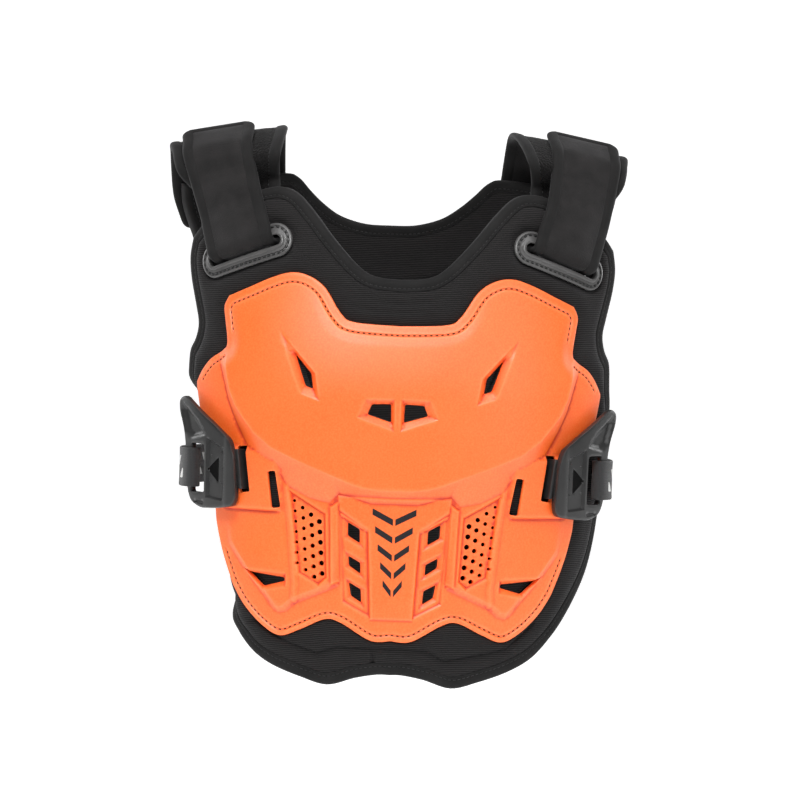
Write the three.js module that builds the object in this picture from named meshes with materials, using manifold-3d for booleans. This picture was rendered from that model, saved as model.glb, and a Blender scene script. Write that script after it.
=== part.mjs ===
// A child's roost deflector: a moulded chest plate on a padded vest that is worn over the shoulders.
// Millimetres, +Z up. The wearer looks along -Y, and +X is the wearer's left.
// The origin is on the midline, at the shoulder tops, under the straps.

import * as THREE from 'three';
import { mergeVertices } from 'three/addons/utils/BufferGeometryUtils.js';
import loadManifold from 'manifold-3d';

// Clearance between two pieces that touch
const GAP = 0.3;

// Chest sheet: the bent surface that the plate, the front pad and the slot frames follow
const CHEST_ARC = 190;
const CHEST_TURN_TOP = 56;
const CHEST_TURN_BOTTOM = 76;
const CHEST_TURN_START = 50;
const CHEST_TURN_DROP = 350;
const CHEST_ROUNDNESS = 1.6;
const CHEST_STAND = 112;
const VEST_DROP = 417;
const CHEST_PROFILE = [
  { drop: 0.096, stand: 0.643 },
  { drop: 0.264, stand: 0.884 },
  { drop: 0.528, stand: 1 },
  { drop: 0.791, stand: 0.973 },
  { drop: 1.007, stand: 0.92 },
];

// Back sheet: the bent surface that the back pad follows
const BACK_ARC = 185;
const BACK_TURN_TOP = 22;
const BACK_TURN_BOTTOM = 62;
const BACK_TURN_START = 20;
const BACK_TURN_DROP = 140;
const BACK_STAND = 105;
const BACK_PROFILE = [
  { drop: 0.02, stand: 0.48 },
  { drop: 0.096, stand: 0.7 },
  { drop: 0.153, stand: 0.81 },
  { drop: 0.24, stand: 0.915 },
  { drop: 0.48, stand: 1 },
  { drop: 0.72, stand: 0.96 },
  { drop: 0.96, stand: 0.876 },
];
// The back hangs a little askew: its shift to the side for each millimetre behind the front
// lobes, above and below the arm openings
const SWAY_ABOVE = -0.07;
const SWAY_BELOW = 0.06;
const SWAY_START = -80;
const SWAY_TURN_START = 150;
const SWAY_TURN_DROP = 100;

// Moulded chest plate; its lower edge stays above the hem of the vest
const PLATE_HALF = 172;
const PLATE_DROP = 106;
const PLATE_HEM = 36;
const PLATE_HEIGHT = VEST_DROP - PLATE_HEM - PLATE_DROP;
const PLATE_WALL = 3;
const PLATE_TOP_EDGE = [
  { across: 0, down: 0.138 },
  { across: 0.2, down: 0.131 },
  { across: 0.262, down: 0.108 },
  { across: 0.335, down: 0.04 },
  { across: 0.41, down: 0.008 },
  { across: 0.49, down: 0 },
  { across: 0.58, down: 0.016 },
  { across: 0.69, down: 0.045 },
  { across: 0.79, down: 0.07 },
];
const PLATE_SIDE_EDGE = [
  { across: 0.79, down: 0.07 },
  { across: 0.814, down: 0.1 },
  { across: 0.804, down: 0.14 },
  { across: 0.786, down: 0.2 },
  { across: 0.81, down: 0.22 },
  { across: 0.9, down: 0.25 },
  { across: 0.975, down: 0.3 },
  { across: 0.985, down: 0.335 },
  { across: 0.925, down: 0.475 },
  { across: 0.855, down: 0.64 },
  { across: 0.84, down: 0.7 },
  { across: 0.8, down: 0.78 },
  { across: 0.735, down: 0.87 },
];
const PLATE_BOTTOM_EDGE = [
  { across: 0.735, down: 0.87 },
  { across: 0.67, down: 0.924 },
  { across: 0.575, down: 0.976 },
  { across: 0.49, down: 1 },
  { across: 0.4, down: 0.98 },
  { across: 0.29, down: 0.948 },
  { across: 0.22, down: 0.956 },
  { across: 0.09, down: 1.002 },
  { across: 0, down: 1.002 },
];

// Dome of the plate, with the lip that it ends in below and at its sides
const DOME_RISE = 9;
const DOME_HALF = 138;
const DOME_DROP = 106;
const DOME_START = 165;
const DOME_FULLNESS = 2.2;
const DOME_FADE = 95;
const LIP_START = 0.93;
const LIP_END = 1.05;

// Raised panel with the two strap slots, one on each side
const PANEL_RISE = 4;
const PANEL_ACROSS = 112;
const PANEL_DROP = 262;
const PANEL_HALF_ACROSS = 27;
const PANEL_HALF_TALL = 25;
const PANEL_EDGE = 7;

// Strap slots in the panel, with the shares of the panel that they stand at
const STRAP_SLOT_WIDTH = 8;
const STRAP_SLOT_TALL = 35;
const STRAP_SLOT_LEAN = 8;
const STRAP_SLOTS = [
  { name: 'inner', across: -0.76, down: 0.32, width: 0.75, tall: 0.8 },
  { name: 'outer', across: 0.18, down: -0.24, width: 1, tall: 1 },
];

// Air vents through the plate and the pad: shares of the plate's half width and height
const VENTS = [
  { name: 'upper', corners: [[0.45, 0.225], [0.378, 0.275], [0.367, 0.316], [0.4, 0.309]] },
  { name: 'centre', corners: [[0.112, 0.352], [0.03, 0.35], [0.028, 0.4], [0.13, 0.38]] },
  { name: 'stack_top', corners: [[0.203, 0.678], [0.15, 0.697], [0.148, 0.735], [0.201, 0.715]] },
  { name: 'stack_middle', corners: [[0.196, 0.771], [0.143, 0.789], [0.141, 0.819], [0.193, 0.797]] },
  { name: 'stack_bottom', corners: [[0.19, 0.844], [0.138, 0.862], [0.134, 0.899], [0.18, 0.88]] },
  { name: 'lower', corners: [[0.65, 0.828], [0.475, 0.838], [0.473, 0.848], [0.577, 0.866]] },
];
// Behind the stacked vents the pad has one long cut-out
const STACK_CUTOUT = {
  name: 'stack',
  corners: [[0.206, 0.674], [0.147, 0.693], [0.131, 0.903], [0.18, 0.884]],
};

// Perforations beside the stacked vents: columns of round holes that grow towards the middle.
// The columns stand at shares of the plate and start at shares of the row step.
const HOLE_SIDES = 5;
const HOLE_SIZE = 3.9;
const HOLE_ROW_STEP = 7.8;
const HOLE_ROW_LEAN = 0.0974;
const HOLE_COLUMNS = [
  { across: 0.4436, start: 0, count: 7, size: 0.615 },
  { across: 0.4058, start: 0.641, count: 7, size: 0.769 },
  { across: 0.3669, start: 1.282, count: 7, size: 0.897 },
  { across: 0.3285, start: 1.923, count: 6, size: 1 },
];
const HOLES_DOWN = 0.6255;

// Front pad
const PAD_WALL = 9;
const PAD_PROUD = 1;
const PAD_STEP = 5;
const PAD_HALF = 192;
const PAD_DROP = 40.5;
const PAD_HEIGHT = VEST_DROP - PAD_DROP;
const PAD_TOP_EDGE = [
  { across: 0, down: 0.182 },
  { across: 0.104, down: 0.177 },
  { across: 0.172, down: 0.158 },
  { across: 0.27, down: 0.106 },
  { across: 0.365, down: 0.047 },
  { across: 0.438, down: 0.011 },
  { across: 0.51, down: 0 },
  { across: 0.6, down: 0.009 },
  { across: 0.73, down: 0.038 },
  { across: 0.86, down: 0.073 },
  { across: 0.937, down: 0.106 },
];
const PAD_SIDE_EDGE = [
  { across: 0.937, down: 0.106 },
  { across: 0.958, down: 0.146 },
  { across: 0.948, down: 0.19 },
  { across: 0.911, down: 0.248 },
  { across: 0.893, down: 0.283 },
  { across: 0.912, down: 0.312 },
  { across: 0.956, down: 0.34 },
  { across: 0.975, down: 0.392 },
  { across: 1, down: 0.44 },
  { across: 1, down: 0.53 },
  { across: 0.975, down: 0.623 },
  { across: 0.943, down: 0.703 },
  { across: 0.885, down: 0.77 },
  { across: 0.785, down: 0.838 },
];
const PAD_BOTTOM_EDGE = [
  { across: 0.785, down: 0.838 },
  { across: 0.693, down: 0.892 },
  { across: 0.59, down: 0.938 },
  { across: 0.48, down: 0.966 },
  { across: 0.355, down: 0.987 },
  { across: 0.245, down: 1 },
  { across: 0.135, down: 0.984 },
  { across: 0.05, down: 0.976 },
  { across: 0, down: 0.976 },
];
// Degrees that the pad's border turns in past the plate's edge, by side, and where it starts
const FLANK_CURL = { right: 38, left: 2 };
const FLANK_CURL_LENGTH = 18;
const FLANK_CURL_START = 185;
const FLANK_CURL_FULL = 215;

// Back pad
const BACK_DROP = 26;
const BACK_HEIGHT = 379;
const BACK_TOP_EDGE = [
  { across: 0, down: 0.102 },
  { across: 0.11, down: 0.1 },
  { across: 0.22, down: 0.085 },
  { across: 0.3, down: 0.06 },
  { across: 0.36, down: 0.034 },
  { across: 0.415, down: 0.008 },
  { across: 0.48, down: 0 },
  { across: 0.7, down: 0.012 },
  { across: 0.94, down: 0.03 },
];
const BACK_SIDE_EDGE = [
  { across: 0.94, down: 0.03 },
  { across: 0.935, down: 0.08 },
  { across: 0.895, down: 0.15 },
  { across: 0.86, down: 0.23 },
  { across: 0.84, down: 0.31 },
  { across: 0.838, down: 0.4 },
  { across: 0.842, down: 0.5 },
  { across: 0.84, down: 0.73 },
  { across: 0.81, down: 0.86 },
  { across: 0.73, down: 0.937 },
];
const BACK_BOTTOM_EDGE = [
  { across: 0.73, down: 0.937 },
  { across: 0.6, down: 0.975 },
  { across: 0.32, down: 0.997 },
  { across: 0, down: 1 },
];

// Binding that closes the edges of both pads
const BINDING_WIDTH = 8;
const BINDING_PROUD = 0.8;
const BINDING_TAPER = 1.8;
const BINDING_GAP = 0.6;

// Slot frames on the front lobes
const FRAME_ACROSS = 124.5;
const FRAME_DROP = 90.5;
const FRAME_LEAN = 18;
const FRAME_LENGTH = 83;
const FRAME_BAR = 9;
const FRAME_WALL = 3.3;
const FRAME_BEVEL = 0.8;
const FRAME_STEPS = 6;
const FRAME_BAR_STEPS = 5;
const STRAP_CLEARANCE = 1.5;

// Shoulder straps: padded ribbons from the back pad to the slot frames and up again as tails
const STRAP_THICK = 5;
const STRAP_HALF = 29;
const WING_HALF = 47;
const WING_LENGTH = 58;
const SHOULDER_HALF = 134;
const SHOULDER_SLOPE = 10.5;
const TAIL_LIFT = 0.5;
const TAIL_SHIFT = 7;
const STRAP_COLUMNS = [-1, -0.34, 0.34, 1];
// The ridge of the shoulder: depth and height as shares of WING_LENGTH, with the turn in degrees
const SHOULDER_RIDGE = [
  { back: 0.6, up: -0.07, yaw: -7, width: 1 },
  { back: 0.14, up: -0.012, yaw: 0, width: 1 },
  { back: -0.33, up: -0.12, yaw: 12, width: 0.97 },
  { back: -0.74, up: -0.42, yaw: 23, width: 0.91 },
];

// Hook buckles on the outer strap slots
const BUCKLE_WALL = 5;
const BUCKLE_LIFT = 1.8;
const BUCKLE_LENGTH = 60;
const BUCKLE_TALL = 84;
const BUCKLE_OUTLINE = [
  { across: 0.04, up: 0.12 },
  { across: 0.1, up: 0.26 },
  { across: 0.36, up: 0.4 },
  { across: 0.62, up: 0.52 },
  { across: 0.88, up: 0.64 },
  { across: 1, up: 0.6 },
  { across: 1, up: 0.5 },
  { across: 0.9, up: 0.34 },
  { across: 0.86, up: 0.2 },
  { across: 0.85, up: -0.04 },
  { across: 0.81, up: -0.24 },
  { across: 0.74, up: -0.33 },
  { across: 0.56, up: -0.38 },
  { across: 0.3, up: -0.37 },
  { across: 0.04, up: -0.34 },
  { across: 0, up: -0.26 },
];
const WINDOW_LEFT = 0.5;
const WINDOW_RIGHT = 0.73;
const WINDOW_TOP = 0.24;
const WINDOW_BOTTOM = -0.27;
const HOOK_THICK = 3;
const HOOK_GAP = 1.2;
const HOOK_REACH = 12;
const HOOK_TALL = 30;

// Elastic side straps from the buckles to the back pad
const WEB_WIDTH = 30;
const WEB_THICK = 2;
const WEB_OVERLAP = 38;
const WEB_CLEARANCE = 1.3;
const WEB_LEAVE = 8;
const WEB_BOW = -6;
const WEB_STEPS = 33;
const BUCKLE_RIM = 0.87;
const BACK_EDGE_SHARE = 0.852;

// Grids that the bent pieces are built on
const PLATE_GRID = { columns: 24, rows: 13 };
const PAD_GRID = { columns: 22, rows: 12 };
const BACK_GRID = { columns: 16, rows: 11 };
const BEND_STEPS = 24;

const { clamp, lerp, smoothstep, degToRad } = THREE.MathUtils;
const manifold = await loadManifold();
manifold.setup();

// Height profile of a sheet: how far it stands from the shoulder line at a height
function profileCurve(table, stand) {
  const points = table.map((row) => new THREE.Vector2(-row.drop * VEST_DROP, row.stand * stand));
  return (z) => {
    const last = points.length - 1;
    let k = 0;
    while (k < last - 1 && z < points[k + 1].x) k += 1;
    const [a, b] = [points[k], points[k + 1]];
    const before = points[Math.max(k - 1, 0)];
    const after = points[Math.min(k + 2, last)];
    const share = clamp((z - a.x) / (b.x - a.x), -0.5, 1.5);
    const slopeA = ((b.y - before.y) / (b.x - before.x)) * (b.x - a.x);
    const slopeB = ((after.y - a.y) / (after.x - a.x)) * (b.x - a.x);
    const s2 = share * share;
    const s3 = s2 * share;
    return (2 * s3 - 3 * s2 + 1) * a.y + (s3 - 2 * s2 + share) * slopeA
      + (3 * s2 - 2 * s3) * b.y + (s3 - s2) * slopeB;
  };
}

// A sheet bends round the body: arc is measured from the midline and w is the offset outwards
function bentPoint(arc, z, w, turnAt, stand, facing) {
  const side = Math.sign(arc) || 1;
  const length = Math.abs(arc);
  let x = 0;
  let depth = 0;
  for (let k = 0; k < BEND_STEPS; k += 1) {
    const turn = turnAt(length * (k + 0.5) / BEND_STEPS);
    x += Math.cos(turn) * length / BEND_STEPS;
    depth += Math.sin(turn) * length / BEND_STEPS;
  }
  const turn = turnAt(length);
  x += w * Math.sin(turn);
  depth -= w * Math.cos(turn);
  return new THREE.Vector3(side * x, facing * (stand - depth), z);
}

const chestStand = profileCurve(CHEST_PROFILE, CHEST_STAND);
const backStand = profileCurve(BACK_PROFILE, BACK_STAND);

function chestTurn(z, length) {
  const share = (-CHEST_TURN_START - z) / CHEST_TURN_DROP;
  const full = degToRad(lerp(CHEST_TURN_TOP, CHEST_TURN_BOTTOM, share));
  return full * (length / CHEST_ARC) ** CHEST_ROUNDNESS;
}

function chestPoint(arc, z, w) {
  return bentPoint(arc, z, w, (length) => chestTurn(z, length), chestStand(z), -1);
}

function sway(point) {
  const below = smoothstep(-point.z, SWAY_TURN_START, SWAY_TURN_START + SWAY_TURN_DROP);
  point.x += lerp(SWAY_ABOVE, SWAY_BELOW, below) * Math.max(0, point.y - SWAY_START);
  return point;
}

function backPoint(arc, z, w) {
  const share = clamp((-BACK_TURN_START - z) / BACK_TURN_DROP, 0, 1);
  const full = degToRad(lerp(BACK_TURN_TOP, BACK_TURN_BOTTOM, smoothstep(share, 0, 1)));
  const turnAt = (length) => full * (length / BACK_ARC) ** CHEST_ROUNDNESS;
  return sway(bentPoint(arc, z, w, turnAt, backStand(z), 1));
}

// Where the plate's side edge is at a height, measured from the midline
function plateEdge(z) {
  const down = (-PLATE_DROP - z) / PLATE_HEIGHT;
  const table = [...PLATE_SIDE_EDGE, ...PLATE_BOTTOM_EDGE.slice(1, 4)];
  const next = table.findIndex((row) => row.down > down);
  if (next < 1) return PLATE_HALF * table[next === 0 ? 0 : table.length - 1].across;
  const [a, b] = [table[next - 1], table[next]];
  return PLATE_HALF * lerp(a.across, b.across, (down - a.down) / (b.down - a.down));
}

// The front pad follows the chest sheet, and its border turns in past the plate's edge
function padPoint(arc, z, w) {
  const side = arc < 0 ? 'right' : 'left';
  const amount = degToRad(FLANK_CURL[side]) * smoothstep(-z, FLANK_CURL_START, FLANK_CURL_FULL);
  const start = plateEdge(z);
  const turnAt = (length) => chestTurn(z, length)
    + amount * smoothstep(length, start, start + FLANK_CURL_LENGTH);
  return bentPoint(arc, z, w, turnAt, chestStand(z), -1);
}

// Relief of the plate over the chest sheet
function plateRise(arc, z) {
  const across = Math.abs(arc) / DOME_HALF;
  const below = Math.max(0, -DOME_START - z) / DOME_DROP;
  const reach = (across ** DOME_FULLNESS + below ** DOME_FULLNESS) ** (1 / DOME_FULLNESS);
  const fade = smoothstep(-z, DOME_START - DOME_FADE * 0.63, DOME_START + DOME_FADE * 0.37);
  const dome = DOME_RISE * fade * (1 - smoothstep(reach, LIP_START, LIP_END));
  const offAcross = Math.abs(Math.abs(arc) - PANEL_ACROSS) - PANEL_HALF_ACROSS;
  const offTall = Math.abs(-z - PANEL_DROP) - PANEL_HALF_TALL;
  const panel = PANEL_RISE * (1 - smoothstep(Math.max(offAcross, offTall), -PANEL_EDGE, 0));
  return Math.max(dome, panel);
}

// Closed solids from grids and sections

function solidGeometry(positions, index) {
  const geometry = new THREE.BufferGeometry();
  geometry.setAttribute('position', new THREE.Float32BufferAttribute(positions, 3));
  geometry.setIndex(index);
  if (signedVolume(geometry) < 0) {
    for (let k = 0; k < index.length; k += 3) [index[k], index[k + 1]] = [index[k + 1], index[k]];
    geometry.setIndex(index);
  }
  return geometry;
}

function signedVolume(geometry) {
  const position = geometry.getAttribute('position');
  const index = geometry.getIndex().array;
  const corner = [new THREE.Vector3(), new THREE.Vector3(), new THREE.Vector3()];
  let volume = 0;
  for (let k = 0; k < index.length; k += 3) {
    corner.forEach((point, j) => point.fromBufferAttribute(position, index[k + j]));
    volume += corner[0].dot(corner[1].clone().cross(corner[2])) / 6;
  }
  return volume;
}

// A slab between two grids of points with the same rows and columns
function slabGeometry(outer, inner) {
  const rows = outer.length;
  const columns = outer[0].length;
  const positions = [outer, inner].flat(2).flatMap((point) => point.toArray());
  const index = [];
  const at = (face, row, column) => (face * rows + row) * columns + column;
  const quad = (a, b, c, d) => index.push(a, b, c, a, c, d);
  for (let r = 0; r < rows - 1; r += 1) {
    for (let c = 0; c < columns - 1; c += 1) {
      quad(at(0, r, c), at(0, r + 1, c), at(0, r + 1, c + 1), at(0, r, c + 1));
      quad(at(1, r, c), at(1, r, c + 1), at(1, r + 1, c + 1), at(1, r + 1, c));
    }
    quad(at(0, r, 0), at(1, r, 0), at(1, r + 1, 0), at(0, r + 1, 0));
    const last = columns - 1;
    quad(at(0, r + 1, last), at(1, r + 1, last), at(1, r, last), at(0, r, last));
  }
  for (let c = 0; c < columns - 1; c += 1) {
    quad(at(0, 0, c + 1), at(1, 0, c + 1), at(1, 0, c), at(0, 0, c));
    const last = rows - 1;
    quad(at(0, last, c), at(1, last, c), at(1, last, c + 1), at(0, last, c + 1));
  }
  return solidGeometry(positions, index);
}

// A closed ring swept through sections that all have the same number of points
function ringGeometry(sections) {
  const points = sections[0].length;
  const positions = sections.flat().flatMap((point) => point.toArray());
  const index = [];
  for (let s = 0; s < sections.length; s += 1) {
    const next = (s + 1) % sections.length;
    for (let k = 0; k < points; k += 1) {
      const after = (k + 1) % points;
      const [a, b] = [s * points + k, next * points + k];
      const [c, d] = [next * points + after, s * points + after];
      index.push(a, b, c, a, c, d);
    }
  }
  return solidGeometry(positions, index);
}

// A prism through a sheet: a loop of (arc, height) points between two offsets
function prismGeometry(loop, inside, outside, pointAt) {
  const ring = THREE.ShapeUtils.isClockWise(loop) ? [...loop].reverse() : loop;
  const positions = [outside, inside]
    .flatMap((w) => ring.flatMap((p) => pointAt(p.x, p.y, w).toArray()));
  const count = ring.length;
  const index = [];
  for (const face of THREE.ShapeUtils.triangulateShape([...ring], [])) {
    const flipped = THREE.ShapeUtils.isClockWise(face.map((k) => ring[k]));
    const [a, b, c] = flipped ? [...face].reverse() : face;
    index.push(a, b, c, count + a, count + c, count + b);
  }
  for (let k = 0; k < count; k += 1) {
    const next = (k + 1) % count;
    index.push(k, count + k, count + next, k, count + next, next);
  }
  return solidGeometry(positions, index);
}

// Joining and cutting

function toManifold(geometry) {
  const clean = geometry.clone();
  clean.deleteAttribute('normal');
  clean.deleteAttribute('uv');
  const merged = mergeVertices(clean, 1e-4);
  return new manifold.Manifold(new manifold.Mesh({
    numProp: 3,
    vertProperties: new Float32Array(merged.getAttribute('position').array),
    triVerts: new Uint32Array(merged.getIndex().array),
  }));
}

function fromManifold(solid) {
  const mesh = solid.getMesh();
  const geometry = new THREE.BufferGeometry();
  geometry.setAttribute('position', new THREE.Float32BufferAttribute(mesh.vertProperties, 3));
  geometry.setIndex(Array.from(mesh.triVerts));
  return geometry;
}

function cut(geometry, cutters) {
  let solid = toManifold(geometry);
  for (const cutter of cutters) solid = solid.subtract(toManifold(cutter));
  return fromManifold(solid);
}

function join(geometries) {
  let solid = toManifold(geometries[0]);
  for (const geometry of geometries.slice(1)) solid = solid.add(toManifold(geometry));
  return fromManifold(solid);
}

// Outlines on a sheet

function edgeCurve(table, half, drop, height) {
  const at = (row) => new THREE.Vector2(row.across * half, -drop - row.down * height);
  return new THREE.SplineCurve(table.map(at));
}

// The whole outline as stations: a point and its outward normal, starting at the top left corner
function outlineStations(edges, half, drop, height, grid) {
  const [top, side, bottom] = edges.map((table) => edgeCurve(table, half, drop, height));
  const mirror = (p) => new THREE.Vector2(-p.x, p.y);
  const columns = grid.columns / 2;
  const topHalf = top.getSpacedPoints(columns);
  const bottomHalf = bottom.getSpacedPoints(columns);
  const right = side.getSpacedPoints(grid.rows);
  const loop = [
    ...topHalf.slice(1).reverse().map(mirror), ...topHalf.slice(0, -1),
    ...right.slice(0, -1),
    ...bottomHalf.slice(0, -1), ...bottomHalf.slice(1).reverse().map(mirror),
    ...right.slice(1).reverse().map(mirror),
  ];
  return loop.map((point, k) => {
    const before = loop[(k + loop.length - 1) % loop.length];
    const after = loop[(k + 1) % loop.length];
    const along = after.clone().sub(before).normalize();
    return { point, normal: new THREE.Vector2(-along.y, along.x) };
  });
}

// A grid inside the outline, from its four edges, each moved out by grow
function patchGrid(stations, grid, grow) {
  const moved = stations.map((s) => s.point.clone().addScaledVector(s.normal, grow));
  const { columns, rows } = grid;
  const top = moved.slice(0, columns + 1);
  const right = moved.slice(columns, columns + rows + 1);
  const bottom = moved.slice(columns + rows, 2 * columns + rows + 1).reverse();
  const left = [...moved.slice(2 * columns + rows), moved[0]].reverse();
  const cells = [];
  for (let r = 0; r <= rows; r += 1) {
    const t = r / rows;
    cells.push(top.map((_, c) => {
      const s = c / columns;
      const mix = (key) => (1 - t) * top[c][key] + t * bottom[c][key]
        + (1 - s) * left[r][key] + s * right[r][key]
        - (1 - s) * (1 - t) * top[0][key] - s * (1 - t) * top[columns][key]
        - (1 - s) * t * bottom[0][key] - s * t * bottom[columns][key];
      return new THREE.Vector2(mix('x'), mix('y'));
    }));
  }
  return cells;
}

function bendGrid(cells, offsetAt, pointAt) {
  return cells.map((row) => row.map((p) => pointAt(p.x, p.y, offsetAt(p.x, p.y))));
}

function bindingGeometry(stations, inset, face, wall, pointAt) {
  const [high, low] = [face + BINDING_PROUD, face - wall - BINDING_PROUD];
  const corners = [
    { grow: inset + BINDING_GAP, w: high },
    { grow: 0, w: high - BINDING_TAPER },
    { grow: 0, w: low + BINDING_TAPER },
    { grow: inset + BINDING_GAP, w: low },
  ];
  return ringGeometry(stations.map((s) => corners.map((corner) => {
    const p = s.point.clone().addScaledVector(s.normal, corner.grow);
    return pointAt(p.x, p.y, corner.w);
  })));
}

// Places on the plate

function mirrored(loop, side) {
  return side > 0 ? loop : loop.map((p) => new THREE.Vector2(-p.x, p.y)).reverse();
}

function ventLoop(vent, side) {
  const loop = vent.corners.map(([across, down]) => (
    new THREE.Vector2(across * PLATE_HALF, -PLATE_DROP - down * PLATE_HEIGHT)));
  return mirrored(loop, side);
}

function strapSlotPlace(slot) {
  return new THREE.Vector2(
    PANEL_ACROSS + slot.across * PANEL_HALF_ACROSS,
    -PANEL_DROP - slot.down * PANEL_HALF_TALL,
  );
}

function leaningBox(centre, width, tall, lean) {
  const corners = [[-1, -1], [1, -1], [1, 1], [-1, 1]];
  return corners.map(([a, b]) => (
    new THREE.Vector2(a * width / 2, b * tall / 2)
      .rotateAround(new THREE.Vector2(), degToRad(lean)).add(centre)));
}

function strapSlotLoop(slot, side) {
  const [width, tall] = [STRAP_SLOT_WIDTH * slot.width, STRAP_SLOT_TALL * slot.tall];
  return mirrored(leaningBox(strapSlotPlace(slot), width, tall, -STRAP_SLOT_LEAN), side);
}

function holeLoops(side) {
  return HOLE_COLUMNS.flatMap((column) => (
    Array.from({ length: column.count }, (_, row) => {
      const down = PLATE_DROP + HOLES_DOWN * PLATE_HEIGHT + (column.start + row) * HOLE_ROW_STEP;
      const lean = row * HOLE_ROW_LEAN * HOLE_ROW_STEP;
      const centre = new THREE.Vector2(column.across * PLATE_HALF - lean, -down);
      const loop = Array.from({ length: HOLE_SIDES }, (_unused, k) => {
        const angle = k / HOLE_SIDES * Math.PI * 2;
        const spoke = new THREE.Vector2(Math.cos(angle), Math.sin(angle));
        return spoke.multiplyScalar(column.size * HOLE_SIZE / 2).add(centre);
      });
      return mirrored(loop, side);
    })));
}

// Chest plate

const PLATE_EDGES = [PLATE_TOP_EDGE, PLATE_SIDE_EDGE, PLATE_BOTTOM_EDGE];
const plateStations = outlineStations(PLATE_EDGES, PLATE_HALF, PLATE_DROP, PLATE_HEIGHT, PLATE_GRID);
const plateFace = (arc, z) => PLATE_WALL + plateRise(arc, z);
const CUT_DEPTH = 30;

function plateGeometry() {
  const cells = patchGrid(plateStations, PLATE_GRID, 0);
  const slab = slabGeometry(
    bendGrid(cells, plateFace, chestPoint),
    bendGrid(cells, plateRise, chestPoint),
  );
  const cutters = [];
  for (const side of [-1, 1]) {
    for (const vent of VENTS) {
      cutters.push(prismGeometry(ventLoop(vent, side), -CUT_DEPTH, CUT_DEPTH, chestPoint));
    }
    for (const slot of STRAP_SLOTS) {
      cutters.push(prismGeometry(strapSlotLoop(slot, side), -CUT_DEPTH, CUT_DEPTH, chestPoint));
    }
    for (const loop of holeLoops(side)) {
      cutters.push(prismGeometry(loop, -CUT_DEPTH, CUT_DEPTH, chestPoint));
    }
  }
  return cut(slab, cutters);
}

// Front pad: foam that fills the plate's underside and stands a little proud around its edge

const PAD_EDGES = [PAD_TOP_EDGE, PAD_SIDE_EDGE, PAD_BOTTOM_EDGE];
const PAD_INSET = -(BINDING_WIDTH + BINDING_GAP);
const padStations = outlineStations(PAD_EDGES, PAD_HALF, PAD_DROP, PAD_HEIGHT, PAD_GRID);

function padFace(arc, z) {
  const inside = smoothstep(plateEdge(z) - Math.abs(arc), -PAD_STEP, 0);
  const reach = inside * smoothstep(-z, PLATE_DROP, PLATE_DROP + PAD_STEP);
  return PAD_PROUD + (plateRise(arc, z) + PAD_PROUD) * reach;
}

function frontPadGeometry() {
  const cells = patchGrid(padStations, PAD_GRID, PAD_INSET);
  const slab = slabGeometry(
    bendGrid(cells, padFace, padPoint),
    bendGrid(cells, () => PAD_PROUD - PAD_WALL, padPoint),
  );
  const bed = patchGrid(plateStations, PLATE_GRID, 0);
  const grown = patchGrid(plateStations, PLATE_GRID, GAP);
  const { rows, columns } = PLATE_GRID;
  const onEdge = (r, c) => r === 0 || c === 0 || r === rows || c === columns;
  const cells2 = bed.map((row, r) => row.map((p, c) => (onEdge(r, c) ? grown[r][c] : p)));
  const bedCutter = slabGeometry(
    bendGrid(cells2, () => CUT_DEPTH, chestPoint),
    bendGrid(cells2, (arc, z) => plateRise(arc, z) - GAP, chestPoint),
  );
  const cutters = [bedCutter];
  const padVents = [...VENTS.filter((row) => !row.name.startsWith('stack')), STACK_CUTOUT];
  for (const side of [-1, 1]) {
    for (const vent of padVents) {
      cutters.push(prismGeometry(ventLoop(vent, side), -CUT_DEPTH, CUT_DEPTH, chestPoint));
    }
    cutters.push(prismGeometry(hookPocketLoop(side), -HOOK_POCKET_DEPTH, CUT_DEPTH, chestPoint));
    cutters.push(prismGeometry(frameLoop(side, STRAP_CLEARANCE), -CUT_DEPTH, CUT_DEPTH, chestPoint));
    cutters.push(frameRing(side, STRAP_CLEARANCE / 2, FRAME_BAR + GAP, FRAME_FACE - GAP, CUT_DEPTH));
  }
  return cut(slab, cutters);
}

// Slot frames: a stadium ring on each front lobe

const FRAME_SLOT_TALL = STRAP_THICK + 2 * STRAP_CLEARANCE;
const FRAME_SLOT_LENGTH = FRAME_LENGTH - 2 * FRAME_BAR;
const FRAME_FACE = PAD_PROUD + GAP;

function stadium(length, tall) {
  const radius = tall / 2;
  const straight = length / 2 - radius;
  const loop = [];
  for (const end of [1, -1]) {
    for (let k = 0; k <= FRAME_STEPS; k += 1) {
      const angle = (k / FRAME_STEPS - 0.5) * Math.PI + (end < 0 ? Math.PI : 0);
      loop.push(new THREE.Vector2(end * straight + radius * Math.cos(angle), radius * Math.sin(angle)));
    }
    for (let k = 1; k < FRAME_BAR_STEPS; k += 1) {
      loop.push(new THREE.Vector2(end * straight * (1 - 2 * k / FRAME_BAR_STEPS), end * radius));
    }
  }
  return loop;
}

// From the frame's own axes to the chest sheet: the slot falls outwards by its lean
function onFrame(p, side) {
  const turned = p.clone().rotateAround(new THREE.Vector2(), -degToRad(FRAME_LEAN));
  return new THREE.Vector2(side * (FRAME_ACROSS + turned.x), -FRAME_DROP + turned.y);
}

function frameLoop(side, grow) {
  return stadium(FRAME_SLOT_LENGTH + 2 * grow, FRAME_SLOT_TALL + 2 * grow)
    .map((p) => onFrame(p, side));
}

function frameRing(side, inset, reach, low, high) {
  const slot = frameLoop(side, inset);
  const rim = frameLoop(side, reach);
  return ringGeometry(slot.map((inner, k) => [
    chestPoint(inner.x, inner.y, low),
    chestPoint(inner.x, inner.y, high),
    chestPoint(rim[k].x, rim[k].y, high - FRAME_BEVEL),
    chestPoint(rim[k].x, rim[k].y, low),
  ]));
}

function frameGeometry(side) {
  return frameRing(side, 0, FRAME_BAR, FRAME_FACE, FRAME_FACE + FRAME_WALL);
}

// Shoulder straps

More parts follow.
